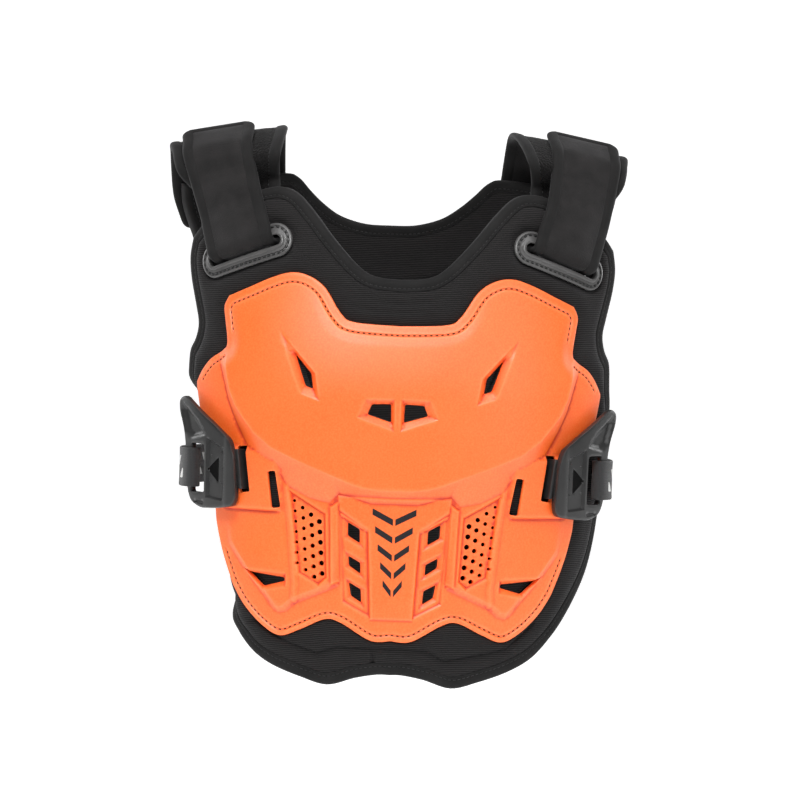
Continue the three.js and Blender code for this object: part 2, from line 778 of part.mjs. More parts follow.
const LEG_INSIDE = PAD_PROUD - PAD_WALL - BINDING_PROUD - GAP - STRAP_THICK / 2;
const LEG_OUTSIDE = FRAME_FACE + FRAME_WALL + 2 * GAP + STRAP_THICK / 2;
const BACK_FACE = BINDING_PROUD + 3 * GAP + STRAP_THICK / 2;

// A row of points across the strap, on the chest sheet, up from the frame's slot
function rowOnChest(side, up, w, half) {
  return STRAP_COLUMNS.map((column) => {
    const p = onFrame(new THREE.Vector2(column * half, up), side);
    return chestPoint(p.x, p.y, w);
  });
}

function rowOnBack(side, arc, drop, half) {
  return STRAP_COLUMNS.map((column) => backPoint(side * (arc + column * half), -drop, BACK_FACE));
}

function rowOnRidge(side, ridge) {
  const [yaw, roll] = [degToRad(ridge.yaw), degToRad(SHOULDER_SLOPE)];
  const half = WING_HALF * ridge.width;
  return STRAP_COLUMNS.map((column) => sway(new THREE.Vector3(
    side * (SHOULDER_HALF + column * half * Math.cos(yaw) * Math.cos(roll)),
    ridge.back * WING_LENGTH + column * half * Math.sin(yaw),
    ridge.up * WING_LENGTH - column * half * Math.sin(roll),
  )));
}

function smoothRows(controls, steps) {
  const curves = STRAP_COLUMNS.map((_, c) => (
    new THREE.CatmullRomCurve3(controls.map((row) => row[c]), false, 'centripetal')));
  return Array.from({ length: steps + 1 }, (_, k) => curves.map((curve) => curve.getPoint(k / steps)));
}

function rowNormals(rows) {
  return rows.map((row, r) => row.map((_, c) => {
    const before = rows[Math.max(r - 1, 0)];
    const after = rows[Math.min(r + 1, rows.length - 1)];
    const along = after[c].clone().sub(before[c]);
    const across = row[Math.min(c + 1, row.length - 1)].clone().sub(row[Math.max(c - 1, 0)]);
    return across.cross(along).normalize();
  }));
}

// A row of the tail, laid on the wing's outer face
function rowOnWing(rows, normals, r, half, side) {
  const row = rows[r];
  const widest = row[0].distanceTo(row[row.length - 1]) / 2;
  return STRAP_COLUMNS.map((column) => {
    const place = (column * half + TAIL_SHIFT) / widest;
    let k = 0;
    while (k < row.length - 2 && place > STRAP_COLUMNS[k + 1]) k += 1;
    const share = (place - STRAP_COLUMNS[k]) / (STRAP_COLUMNS[k + 1] - STRAP_COLUMNS[k]);
    const lift = (STRAP_THICK + TAIL_LIFT) * -side;
    const point = row[k].clone().lerp(row[k + 1], share);
    const normal = normals[r][k].clone().lerp(normals[r][k + 1], share).normalize();
    return point.addScaledVector(normal, lift);
  });
}

function strapRows(side) {
  const wing = smoothRows([
    rowOnBack(side, SHOULDER_HALF - 6, BACK_DROP + 0.8 * WING_LENGTH, WING_HALF * 0.9),
    rowOnBack(side, SHOULDER_HALF - 3, BACK_DROP + 0.4 * WING_LENGTH, WING_HALF),
    rowOnBack(side, SHOULDER_HALF - 1, BACK_DROP + 0.07 * WING_LENGTH, WING_HALF),
    ...SHOULDER_RIDGE.map((ridge) => rowOnRidge(side, ridge)),
    rowOnChest(side, 0.84 * WING_LENGTH, LEG_INSIDE, WING_HALF * 0.83),
    rowOnChest(side, 0.5 * WING_LENGTH, LEG_INSIDE, WING_HALF * 0.72),
    rowOnChest(side, 0.2 * WING_LENGTH, LEG_INSIDE, STRAP_HALF * 0.95),
  ], 18);
  const turn = [
    rowOnChest(side, 4, LEG_INSIDE - GAP, STRAP_HALF * 0.98),
    rowOnChest(side, 0.9, LEG_INSIDE * 0.82, STRAP_HALF * 0.97),
    rowOnChest(side, 0, LEG_INSIDE * 0.45, STRAP_HALF * 0.97),
    rowOnChest(side, 0, LEG_OUTSIDE * 0.2, STRAP_HALF * 0.97),
    rowOnChest(side, 0.9, LEG_OUTSIDE * 0.72, STRAP_HALF * 0.97),
    rowOnChest(side, 4, LEG_OUTSIDE + GAP, STRAP_HALF * 0.98),
  ];
  const normals = rowNormals(wing);
  const outside = [0.2, 0.42, 0.64].map((share) => (
    rowOnChest(side, share * WING_LENGTH, LEG_OUTSIDE, STRAP_HALF)));
  const laid = [11, 10, 9, 8].map((r) => rowOnWing(wing, normals, r, STRAP_HALF, side));
  const tail = smoothRows([...outside, ...laid], 10);
  return [...wing, ...turn, ...tail];
}

function strapGeometry(side) {
  const rows = strapRows(side);
  const normals = rowNormals(rows);
  const faceAt = (sign) => rows.map((row, r) => row.map((p, c) => (
    p.clone().addScaledVector(normals[r][c], sign * STRAP_THICK / 2))));
  return slabGeometry(faceAt(1), faceAt(-1));
}

// Back pad

const BACK_EDGES = [BACK_TOP_EDGE, BACK_SIDE_EDGE, BACK_BOTTOM_EDGE];
const backStations = outlineStations(BACK_EDGES, BACK_ARC, BACK_DROP, BACK_HEIGHT, BACK_GRID);

function backPadGeometry() {
  const cells = patchGrid(backStations, BACK_GRID, PAD_INSET);
  return slabGeometry(
    bendGrid(cells, () => 0, backPoint),
    bendGrid(cells, () => -PAD_WALL, backPoint),
  );
}

// Hook buckles: a frame with a window for the elastic, and a hook through the outer slot

const BUCKLE_FACE = PLATE_WALL + PANEL_RISE + BUCKLE_LIFT;
const buckleSlot = STRAP_SLOTS.find((slot) => slot.name === 'outer');
const HOOK_ACROSS = strapSlotPlace(buckleSlot).x + HOOK_THICK / 2;
const BUCKLE_ACROSS = HOOK_ACROSS - HOOK_THICK / 4;
const BUCKLE_DROP = -strapSlotPlace(buckleSlot).y;
const HOOK_POCKET_DEPTH = HOOK_GAP + HOOK_THICK + 1;

function buckleLoop() {
  return BUCKLE_OUTLINE.map((row) => (
    new THREE.Vector2(BUCKLE_ACROSS + row.across * BUCKLE_LENGTH, row.up * BUCKLE_TALL - BUCKLE_DROP)));
}

// The window has one point for each point of the outline, found along the way to its middle
function windowLoop() {
  const [left, right] = [WINDOW_LEFT, WINDOW_RIGHT].map((s) => BUCKLE_ACROSS + s * BUCKLE_LENGTH);
  const [top, bottom] = [WINDOW_TOP, WINDOW_BOTTOM].map((s) => s * BUCKLE_TALL - BUCKLE_DROP);
  const middle = new THREE.Vector2((left + right) / 2, (top + bottom) / 2);
  return buckleLoop().map((p) => {
    const ray = p.clone().sub(middle);
    const reach = Math.min((right - left) / 2 / Math.abs(ray.x), (top - bottom) / 2 / Math.abs(ray.y));
    return middle.clone().addScaledVector(ray, reach);
  });
}

function hookPocketLoop(side) {
  const centre = strapSlotPlace(buckleSlot).add(new THREE.Vector2(HOOK_REACH / 2, 0));
  const width = STRAP_SLOT_WIDTH + HOOK_REACH + 2;
  return mirrored(leaningBox(centre, width, HOOK_TALL + 4, -STRAP_SLOT_LEAN), side);
}

function buckleGeometry(side) {
  const outline = buckleLoop();
  const hole = windowLoop();
  const at = (p, w) => chestPoint(side * p.x, p.y, w);
  const frame = ringGeometry(outline.map((p, k) => [
    at(hole[k], BUCKLE_FACE),
    at(hole[k], BUCKLE_FACE + BUCKLE_WALL),
    at(p, BUCKLE_FACE + BUCKLE_WALL),
    at(p, BUCKLE_FACE),
  ]));
  const place = new THREE.Vector2(HOOK_ACROSS, -BUCKLE_DROP);
  const stemLoop = leaningBox(place, HOOK_THICK, HOOK_TALL, -STRAP_SLOT_LEAN);
  const stem = prismGeometry(
    mirrored(stemLoop, side), -HOOK_GAP - HOOK_THICK, BUCKLE_FACE + BUCKLE_WALL / 2, chestPoint);
  const toeLoop = leaningBox(
    place.clone().add(new THREE.Vector2(HOOK_REACH / 2 - HOOK_THICK / 2, 0)),
    HOOK_REACH, HOOK_TALL, -STRAP_SLOT_LEAN);
  const toe = prismGeometry(
    mirrored(toeLoop, side), -HOOK_GAP - HOOK_THICK, -HOOK_GAP, chestPoint);
  return join([frame, stem, toe]);
}

// Elastic side straps: from inside the buckle's window, round its outer bar, to the back pad

function sideStrapGeometry(side) {
  const [window, rim] = [WINDOW_RIGHT, BUCKLE_RIM].map((s) => BUCKLE_ACROSS + s * BUCKLE_LENGTH);
  const clear = WEB_THICK / 2 + WEB_CLEARANCE;
  const under = BUCKLE_FACE - clear;
  const over = BUCKLE_FACE + BUCKLE_WALL + clear;
  const drop = BUCKLE_DROP - (WINDOW_TOP + WINDOW_BOTTOM) / 2 * BUCKLE_TALL;
  const sewn = BINDING_PROUD + 3 * GAP + WEB_THICK / 2;
  const onChest = (arc, w) => chestPoint(side * arc, -drop, w);
  const onBack = (arc) => backPoint(side * arc, -drop, sewn);
  const from = onChest(rim + 2 * WEB_LEAVE, under + clear / 2);
  const to = onBack(BACK_EDGE_SHARE * BACK_ARC);
  const path = [
    onChest(rim + WEB_LEAVE / 2, under - clear / 2),
    onChest(rim, under),
    onChest(window, under),
    onChest(window - clear, BUCKLE_FACE),
    onChest(window - clear, BUCKLE_FACE + BUCKLE_WALL),
    onChest(window, over),
    onChest(rim, over),
    from,
    from.clone().lerp(to, 0.5).add(new THREE.Vector3(side * WEB_BOW, 0, 0)),
    to,
    onBack(BACK_EDGE_SHARE * BACK_ARC - WEB_OVERLAP / 2),
    onBack(BACK_EDGE_SHARE * BACK_ARC - WEB_OVERLAP),
  ];
  const curve = new THREE.CatmullRomCurve3(path, false, 'centripetal');
  const rows = curve.getPoints(WEB_STEPS).map((point) => [1, -1].map((k) => (
    point.clone().add(new THREE.Vector3(0, 0, k * WEB_WIDTH / 2)))));
  const normals = rowNormals(rows);
  const faceAt = (sign) => rows.map((row, r) => row.map((p, c) => (
    p.clone().addScaledVector(normals[r][c], sign * WEB_THICK / 2))));
  return slabGeometry(faceAt(1), faceAt(-1));
}

// Materials

const ORANGE_PLASTIC = { color: 0xf0702c, roughness: 0.42, metalness: 0 };
const BLACK_KNIT = { color: 0x1d1d1f, roughness: 0.9, metalness: 0 };
const BLACK_BINDING = { color: 0x262628, roughness: 0.8, metalness: 0 };
const BLACK_BRUSHED = { color: 0x222224, roughness: 0.95, metalness: 0 };
const BLACK_PLASTIC = { color: 0x18181a, roughness: 0.4, metalness: 0 };
const BLACK_ELASTIC = { color: 0x202022, roughness: 0.85, metalness: 0 };

function piece(name, geometry, finish) {
  geometry.computeVertexNormals();
  const mesh = new THREE.Mesh(geometry, new THREE.MeshStandardMaterial(finish));
  mesh.name = name;
  return mesh;
}

const vest = new THREE.Group();
const padOuter = PAD_PROUD;
vest.add(piece('front_pad', frontPadGeometry(), BLACK_KNIT));
vest.add(piece('front_binding',
  bindingGeometry(padStations, PAD_INSET, padOuter, PAD_WALL, padPoint), BLACK_BINDING));
vest.add(piece('chest_plate', plateGeometry(), ORANGE_PLASTIC));
vest.add(piece('back_pad', backPadGeometry(), BLACK_KNIT));
vest.add(piece('back_binding',
  bindingGeometry(backStations, PAD_INSET, 0, PAD_WALL, backPoint), BLACK_BINDING));
for (const [name, side] of [['right', -1], ['left', 1]]) {
  vest.add(piece(`${name}_slot_frame`, frameGeometry(side), BLACK_PLASTIC));
  vest.add(piece(`${name}_shoulder_strap`, strapGeometry(side), BLACK_BRUSHED));
  vest.add(piece(`${name}_buckle`, buckleGeometry(side), BLACK_PLASTIC));
  vest.add(piece(`${name}_side_strap`, sideStrapGeometry(side), BLACK_ELASTIC));
}

export default vest;
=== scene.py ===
import math

import bpy
import numpy as np
from mathutils import Matrix, Vector, kdtree
from mathutils.geometry import delaunay_2d_cdt


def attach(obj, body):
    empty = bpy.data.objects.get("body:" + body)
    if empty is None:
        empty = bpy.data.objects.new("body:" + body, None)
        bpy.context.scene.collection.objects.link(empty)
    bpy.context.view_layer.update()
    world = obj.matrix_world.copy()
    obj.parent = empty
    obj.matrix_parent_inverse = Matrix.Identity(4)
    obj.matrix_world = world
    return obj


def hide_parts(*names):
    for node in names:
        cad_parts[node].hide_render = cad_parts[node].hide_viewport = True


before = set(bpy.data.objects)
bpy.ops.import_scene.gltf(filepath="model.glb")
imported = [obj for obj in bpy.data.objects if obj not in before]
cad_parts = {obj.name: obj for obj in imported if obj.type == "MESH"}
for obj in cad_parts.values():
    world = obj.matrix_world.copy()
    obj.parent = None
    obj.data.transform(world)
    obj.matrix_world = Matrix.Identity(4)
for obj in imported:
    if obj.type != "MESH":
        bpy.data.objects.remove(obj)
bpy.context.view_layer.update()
bpy.ops.object.select_all(action="DESELECT")

# Camera, lights and stage. The vest hangs at eye height before a seamless white paper, seen
# from straight ahead through a long lens, under large soft boxes.
LENS = 140.7
CAMERA_AWAY = 2.4
CAMERA_ABOVE = math.radians(2)
CAMERA_ROLL = math.radians(1.9)
LOOKED_AT = Vector((0.0013, -0.060, -0.201))
PAPER_DROP = -0.66

sight = Vector((0, math.cos(CAMERA_ABOVE), -math.sin(CAMERA_ABOVE)))
level = Vector((1, 0, 0))
upright = level.cross(sight)
across = level * math.cos(CAMERA_ROLL) + upright * math.sin(CAMERA_ROLL)
upwards = upright * math.cos(CAMERA_ROLL) - level * math.sin(CAMERA_ROLL)
bpy.ops.object.camera_add(location=LOOKED_AT - sight * CAMERA_AWAY)
camera = bpy.context.object
camera.name = "photo_camera"
camera.rotation_euler = Matrix((across, upwards, -sight)).transposed().to_euler()
camera.data.lens = LENS
camera.data.sensor_width = 36
camera.data.dof.use_dof = False
bpy.context.scene.camera = camera
bpy.context.scene.view_settings.view_transform = "Standard"

for name, place, aim, size, watts in (
        ("key_box", (-0.45, -1.9, 1.6), (0, -0.05, -0.2), 1.0, 58),
        ("fill_box", (1.5, -2.1, 0.6), (0, -0.05, -0.2), 1.4, 17),
        ("top_box", (0, -0.4, 1.9), (0, 0, -0.2), 1.4, 20),
        ("rim_left", (-1.6, 1.0, 0.4), (0, 0, -0.2), 1.2, 16),
        ("rim_right", (1.6, 1.0, 0.4), (0, 0, -0.2), 1.2, 16)):
    bpy.ops.object.light_add(type="AREA", location=place)
    box = bpy.context.object
    box.name = name
    box.data.shape = "SQUARE"
    box.data.size = size
    box.data.energy = watts
    box.rotation_euler = (Vector(aim) - Vector(place)).to_track_quat("-Z", "Y").to_euler()

world = bpy.data.worlds.new("studio")
world.use_nodes = True
world.node_tree.nodes["Background"].inputs["Color"].default_value = (1, 1, 1, 1)
world.node_tree.nodes["Background"].inputs["Strength"].default_value = 0.19
bpy.context.scene.world = world

bpy.ops.mesh.primitive_plane_add(size=8, location=(0, 3, PAPER_DROP))
paper = bpy.context.object
paper.name = "paper_sweep"
bpy.ops.object.mode_set(mode="EDIT")
bpy.ops.mesh.select_all(action="DESELECT")
bpy.ops.object.mode_set(mode="OBJECT")
for edge in paper.data.edges:
    edge.select = all(paper.data.vertices[v].co.y > 3 for v in edge.vertices)
bpy.ops.object.mode_set(mode="EDIT")
bpy.ops.mesh.select_mode(type="EDGE")
bpy.ops.mesh.extrude_region_move(TRANSFORM_OT_translate={"value": (0, 0, 4.5)})
bpy.ops.object.mode_set(mode="OBJECT")
bpy.ops.object.transform_apply(location=True, rotation=True, scale=True)
cove = paper.modifiers.new("cove", "BEVEL")
cove.width = 1.2
cove.segments = 16
bpy.ops.object.modifier_apply(modifier="cove")
bpy.ops.object.shade_smooth()
white_paper = bpy.data.materials.new("white_paper")
white_paper.use_nodes = True
paper_shader = white_paper.node_tree.nodes["Principled BSDF"]
paper_shader.inputs["Base Color"].default_value = (0.93, 0.93, 0.93, 1)
paper_shader.inputs["Roughness"].default_value = 0.9
paper_shader.inputs["Emission Color"].default_value = (1, 1, 1, 1)
paper_shader.inputs["Emission Strength"].default_value = 0.6
paper.data.materials.append(white_paper)


# Moulded chest plate: one shell of orange plastic 3 mm thick, 344 mm round the chest and 275 mm
# tall. A domed upper part ends in a lip, panels for the strap slots stand beside it, and vents,
# slots and perforations go through. It follows the bent sheet of the chest.
CHEST_ARC, CHEST_TURN_TOP, CHEST_TURN_BOTTOM = 190, 56, 76
CHEST_TURN_START, CHEST_TURN_DROP = 50, 350
ROUNDNESS = 1.6
CHEST_STAND = 112
VEST_DROP = 417
CHEST_PROFILE = [(0.096, 0.643), (0.264, 0.884), (0.528, 1), (0.791, 0.973), (1.007, 0.92)]
PLATE_HALF, PLATE_DROP, PLATE_HEIGHT, PLATE_WALL = 172, 106, 275, 3
PLATE_TOP = [(0, 0.138), (0.2, 0.131), (0.262, 0.108), (0.335, 0.04), (0.41, 0.008), (0.49, 0),
             (0.58, 0.016), (0.69, 0.045), (0.79, 0.07)]
PLATE_SIDE = [(0.79, 0.07), (0.814, 0.1), (0.804, 0.14), (0.786, 0.2), (0.81, 0.22), (0.9, 0.25),
              (0.975, 0.3), (0.985, 0.335), (0.925, 0.475), (0.855, 0.64), (0.84, 0.7),
              (0.8, 0.78), (0.735, 0.87)]
PLATE_BOTTOM = [(0.735, 0.87), (0.67, 0.924), (0.575, 0.976), (0.49, 1), (0.4, 0.98),
                (0.29, 0.948), (0.22, 0.956), (0.09, 1.002), (0, 1.002)]
DOME_RISE, DOME_FADE_START, DOME_FADE_END = 9, 105, 200
# What is left of the dome's rise at the plate's edge, and how far in it is full
DOME_AT_EDGE, DOME_EDGE_FADE = 0.35, 16
LIP_UPPER = [(134.5, -165.5), (130.5, -182.4), (126.9, -195.9), (121.4, -207.5), (116.2, -214.7),
             (106, -227), (91.9, -238), (73.9, -246.1), (49.9, -255.8), (35.9, -261.7),
             (24.9, -265.4), (12.2, -267), (0, -267)]
LIP_LOWER = [(144.7, -170.2), (139.2, -187), (133.9, -203.8), (129.6, -213.3), (124.8, -222.6),
             (109.5, -248.2), (97.5, -254.5), (88, -256.5), (82.6, -265.7), (79.1, -268),
             (64.2, -275.3), (51.5, -277.9), (48.5, -277.8), (41.8, -271.3), (30.5, -273.9),
             (18, -277.8), (0, -277.8)]
PANEL_RISE, PANEL_ACROSS, PANEL_DROP = 4, 112, 262
PANEL_HALF_ACROSS, PANEL_HALF_TALL, PANEL_EDGE, PANEL_LEDGE = 27, 25, 7, 2
# Openings right through, with the recess round each: corners in millimetres from the midline
# and down from the shoulder line, and how deep the recess is at the opening
VENTS = {
    "upper": [(77.4, -167.9), (65, -181.6), (63.1, -192.9), (68.8, -191)],
    "centre": [(19.3, -202.8), (5.2, -202.3), (4.8, -216), (22.4, -210.5)],
    "stack_top": [(34.9, -292.5), (25.8, -297.7), (25.5, -308.1), (34.6, -302.6)],
    "stack_middle": [(33.7, -318), (24.6, -323), (24.3, -331.2), (33.2, -325.2)],
    "stack_bottom": [(32.7, -338.1), (23.7, -343.1), (23, -353.2), (31, -348)],
    "lower": [(111.8, -333.7), (81.7, -336.5), (81.4, -339.2), (99.2, -344.2)],
}
RECESSES = [
    ("upper", 4.4, [(91, -148), (61, -181), (57, -202), (71, -197)]),
    ("centre", 3.4, [(24, -199), (2.2, -198.4), (2, -223), (30, -213)]),
    ("stack_top", 2, [(38, -288), (22.2, -297), (21.8, -313), (37.8, -304)]),
    ("stack_middle", 2, [(37, -313), (21, -321.8), (20.6, -336.2), (36.4, -326.6)]),
    ("stack_bottom", 2, [(36, -333.3), (20, -342), (19.2, -358.8), (33.8, -350)]),
    ("lower", 3.2, [(116, -331.4), (79.4, -333), (79, -343.6), (98.2, -347)]),
]
STACK_RECESS = [(41, -286), (18.6, -299), (15.2, -365), (37.4, -353.2)]
STACK_DEPTH = 1.0
TEE = [(-1, -273), (43, -272), (42, -283.5), (19.8, -298.5), (16.6, -366), (-1, -366)]
HOLE_PANEL = [(80.4, -269.3), (51.2, -286.1), (48.2, -335.2), (54.8, -341.6), (70.7, -332.6)]
PILLAR = [(49, -281), (41.6, -276), (38.8, -338), (46.4, -341)]
STEP = [(39.6, -340.9), (73.2, -356.3), (79.6, -362.5), (86.1, -363.6), (90.2, -361.3),
        (98.8, -350.4), (114.9, -333.2), (131, -314), (141, -262), (42, -262)]
STEP_FADE = (285, 338)
RIB = [(82, -268), (77.6, -300.3), (72.4, -340.3), (73.3, -353)]
RECESS_DEPTH, RECESS_SLOPE = 1.9, 1.6
TEE_RISE, PILLAR_RISE, STEP_RISE, STEP_SLOPE, RIB_RISE, RIB_HALF = 1.2, 1.5, 3.4, 5, 1.0, 3
STRAP_SLOTS = [(91.5, -270, 6, 28), (116.9, -256, 8, 35)]
STRAP_SLOT_LEAN = math.radians(8)
# Each column's place from the midline, its top hole, its count of holes and their width
HOLE_COLUMNS = [(76.3, -278, 7, 2.4), (69.8, -283, 7, 3), (63.1, -288, 7, 3.5),
                (56.5, -293, 6, 3.9)]
HOLE_ROW_STEP, HOLE_ROW_LEAN, HOLE_SIDES = 7.8, 0.76, 12
EDGE_ROUND, EDGE_DIP, THINNEST = 0.9, 0.75, 1.1
# Grooves for the thread: how far in from the edge, between which heights, on which side
GROOVES = {"upper": (7.2, -153, 0, 0), "hem": (4.6, -400, -318, 0),
           "right_flange": (5.2, -190, -171, -1), "left_flange": (5.2, -190, -171, 1)}
GROOVE_HALF, GROOVE_DEPTH = 1.3, 1.0
PLATE_FINENESS = 2.1
SLICES = 24


def smooth(value, low, high):
    share = np.clip((value - low) / (high - low), 0, 1)
    return share * share * (3 - 2 * share)


def stand_at(z, profile, stand):
    """How far a bent sheet stands from the shoulder line at a height."""
    heights = np.array([-drop * VEST_DROP for drop, _ in profile])
    stands = np.array([share * stand for _, share in profile])
    last = len(profile) - 1
    k = (z[:, None] < heights[None, 1:last]).sum(axis=1)
    before, after = np.maximum(k - 1, 0), np.minimum(k + 2, last)
    span = heights[k + 1] - heights[k]
    share = np.clip((z - heights[k]) / span, -0.5, 1.5)
    slope_a = (stands[k + 1] - stands[before]) / (heights[k + 1] - heights[before]) * span
    slope_b = (stands[after] - stands[k]) / (heights[after] - heights[k]) * span
    s2, s3 = share ** 2, share ** 3
    return ((2 * s3 - 3 * s2 + 1) * stands[k] + (s3 - 2 * s2 + share) * slope_a
            + (3 * s2 - 2 * s3) * stands[k + 1] + (s3 - s2) * slope_b)


def bent(arc, z, w, turn_at, stand, facing):
    """Places round the body for arcs from the midline, heights and offsets outwards."""
    side, length = np.where(arc < 0, -1, 1), np.abs(arc)
    x, depth = np.zeros_like(length), np.zeros_like(length)
    for k in range(SLICES):
        turn = turn_at(length * (k + 0.5) / SLICES)
        x += np.cos(turn) * length / SLICES
        depth += np.sin(turn) * length / SLICES
    turn = turn_at(length)
    return np.stack([side * (x + w * np.sin(turn)),
                     facing * (stand - depth + w * np.cos(turn)), z], axis=1)


def chest_turn(z, length):
    share = (-CHEST_TURN_START - z) / CHEST_TURN_DROP
    full = np.radians(CHEST_TURN_TOP + (CHEST_TURN_BOTTOM - CHEST_TURN_TOP) * share)
    return full * (length / CHEST_ARC) ** ROUNDNESS


def on_chest(arc, z, w):
    arc, z, w = np.broadcast_arrays(*(np.asarray(v, dtype=float) for v in (arc, z, w)))
    flat = [v.ravel() for v in (arc, z, w)]
    return bent(*flat, lambda length: chest_turn(flat[1], length),
                stand_at(flat[1], CHEST_PROFILE, CHEST_STAND), -1)


def spline(rows, count):
    """Even points on a smooth line through the rows of a pattern table."""
    rows = np.array(rows, dtype=float)
    t = np.linspace(0, len(rows) - 1, 40 * len(rows))
    k = np.minimum(t.astype(int), len(rows) - 2)
    p = [rows[np.clip(k + shift, 0, len(rows) - 1)] for shift in (-1, 0, 1, 2)]
    s = (t - k)[:, None]
    va, vb = (p[2] - p[0]) / 2, (p[3] - p[1]) / 2
    line = ((2 * p[1] - 2 * p[2] + va + vb) * s ** 3
            + (-3 * p[1] + 3 * p[2] - 2 * va - vb) * s ** 2 + va * s + p[1])
    return spaced(line, count=count)


def spaced(line, step=None, count=None):
    """The line again, in even steps."""
    line = np.asarray(line, dtype=float)
    run = np.concatenate([[0], np.cumsum(np.linalg.norm(np.diff(line, axis=0), axis=1))])
    count = count or max(2, int(round(run[-1] / step)) + 1)
    at = np.linspace(0, run[-1], count)
    return np.stack([np.interp(at, run, line[:, k]) for k in range(line.shape[1])], axis=1)


def pattern_outline(tables, half, drop, height, step):
    """A closed outline, anticlockwise, from the top, side and bottom tables of one half."""
    halves = []
    for table in tables:
        rows = [(a * half, -drop - d * height) for a, d in table]
        line = spline(rows, 400)
        halves.append(spaced(line, step=step))
    one = np.concatenate([halves[0], halves[1][1:], halves[2][1:]])
    other = one[1:-1][::-1] * [-1, 1]
    return np.concatenate([one[::-1], other[::-1]])


def loop_area(loop):
    ahead = np.roll(loop, -1, axis=0)
    return (loop[:, 0] * ahead[:, 1] - ahead[:, 0] * loop[:, 1]).sum() / 2


def loop_normals(loop):
    """Outward directions of a closed loop, whichever way round it runs."""
    along = np.roll(loop, -1, axis=0) - np.roll(loop, 1, axis=0)
    along /= np.linalg.norm(along, axis=1)[:, None] + 1e-12
    return np.stack([along[:, 1], -along[:, 0]], axis=1) * np.sign(loop_area(loop))


def grown(loop, amount):
    return loop + loop_normals(loop) * amount


def shut(loop):
    """The loop with its first point once more at its end."""
    return np.concatenate([loop, loop[:1]])


def closed_loop(corners, step, soften=0):
    """A straight-sided loop in even steps; soften rounds its corners off."""
    corners = np.array(corners, dtype=float)
    if soften:
        cut = []
        for k in range(len(corners)):
            here, before = corners[k], corners[k - 1]
            after = corners[(k + 1) % len(corners)]
            for other in (before, after):
                reach = min(soften / max(np.linalg.norm(other - here), 1e-9), 0.4)
                cut.append(here + (other - here) * reach)
            cut.insert(-1, here + (cut[-2] + cut[-1] - 2 * here) * 0.28)
        corners = np.array(cut)
    sides = [spaced([corners[k], corners[(k + 1) % len(corners)]], step=step)[:-1]
             for k in range(len(corners))]
    return np.concatenate(sides)


def off_line(points, line):
    """Distance of points from an open line."""
    near = np.full(len(points), np.inf)
    for (ax, ay), (bx, by) in zip(line[:-1], line[1:]):
        dx, dy = bx - ax, by - ay
        px, py = points[:, 0] - ax, points[:, 1] - ay
        t = np.clip((px * dx + py * dy) / (dx * dx + dy * dy + 1e-12), 0, 1)
        near = np.minimum(near, (px - t * dx) ** 2 + (py - t * dy) ** 2)
    return np.sqrt(near)


def beyond(points, loop):
    """Distance of points from a closed loop, negative inside it."""
    crossings = np.zeros(len(points), dtype=int)
    for (ax, ay), (bx, by) in zip(loop, np.roll(loop, -1, axis=0)):
        if ay != by:
            straddles = (ay > points[:, 1]) != (by > points[:, 1])
            crossings += straddles & (points[:, 0] - ax < (bx - ax) * (points[:, 1] - ay)
                                      / (by - ay))
    return np.where(crossings % 2 == 1, -1, 1) * off_line(points, shut(loop))


def take(piece):
    """Makes one object the selected and active one."""
    bpy.ops.object.select_all(action="DESELECT")
    piece.select_set(True)
    bpy.context.view_layer.objects.active = piece


def outwards(piece):
    """Turns all faces of a closed piece outwards."""
    take(piece)
    bpy.ops.object.mode_set(mode="EDIT")
    bpy.ops.mesh.select_all(action="SELECT")
    bpy.ops.mesh.normals_make_consistent(inside=False)
    bpy.ops.object.mode_set(mode="OBJECT")


def linked(name, places, faces):
    """A new object in the scene, with its vertices at the places as they are."""
    mesh = bpy.data.meshes.new(name)
    mesh.from_pydata([tuple(place) for place in places], [], faces)
    made = bpy.data.objects.new(name, mesh)
    bpy.context.scene.collection.objects.link(made)
    return made


def skin(name, places, faces, *finishes):
    """A closed piece from places in millimetres and faces, with its materials."""
    made = linked(name, np.asarray(places) * 0.001, faces)
    for finish in finishes:
        made.data.materials.append(finish)
    outwards(made)
    return made


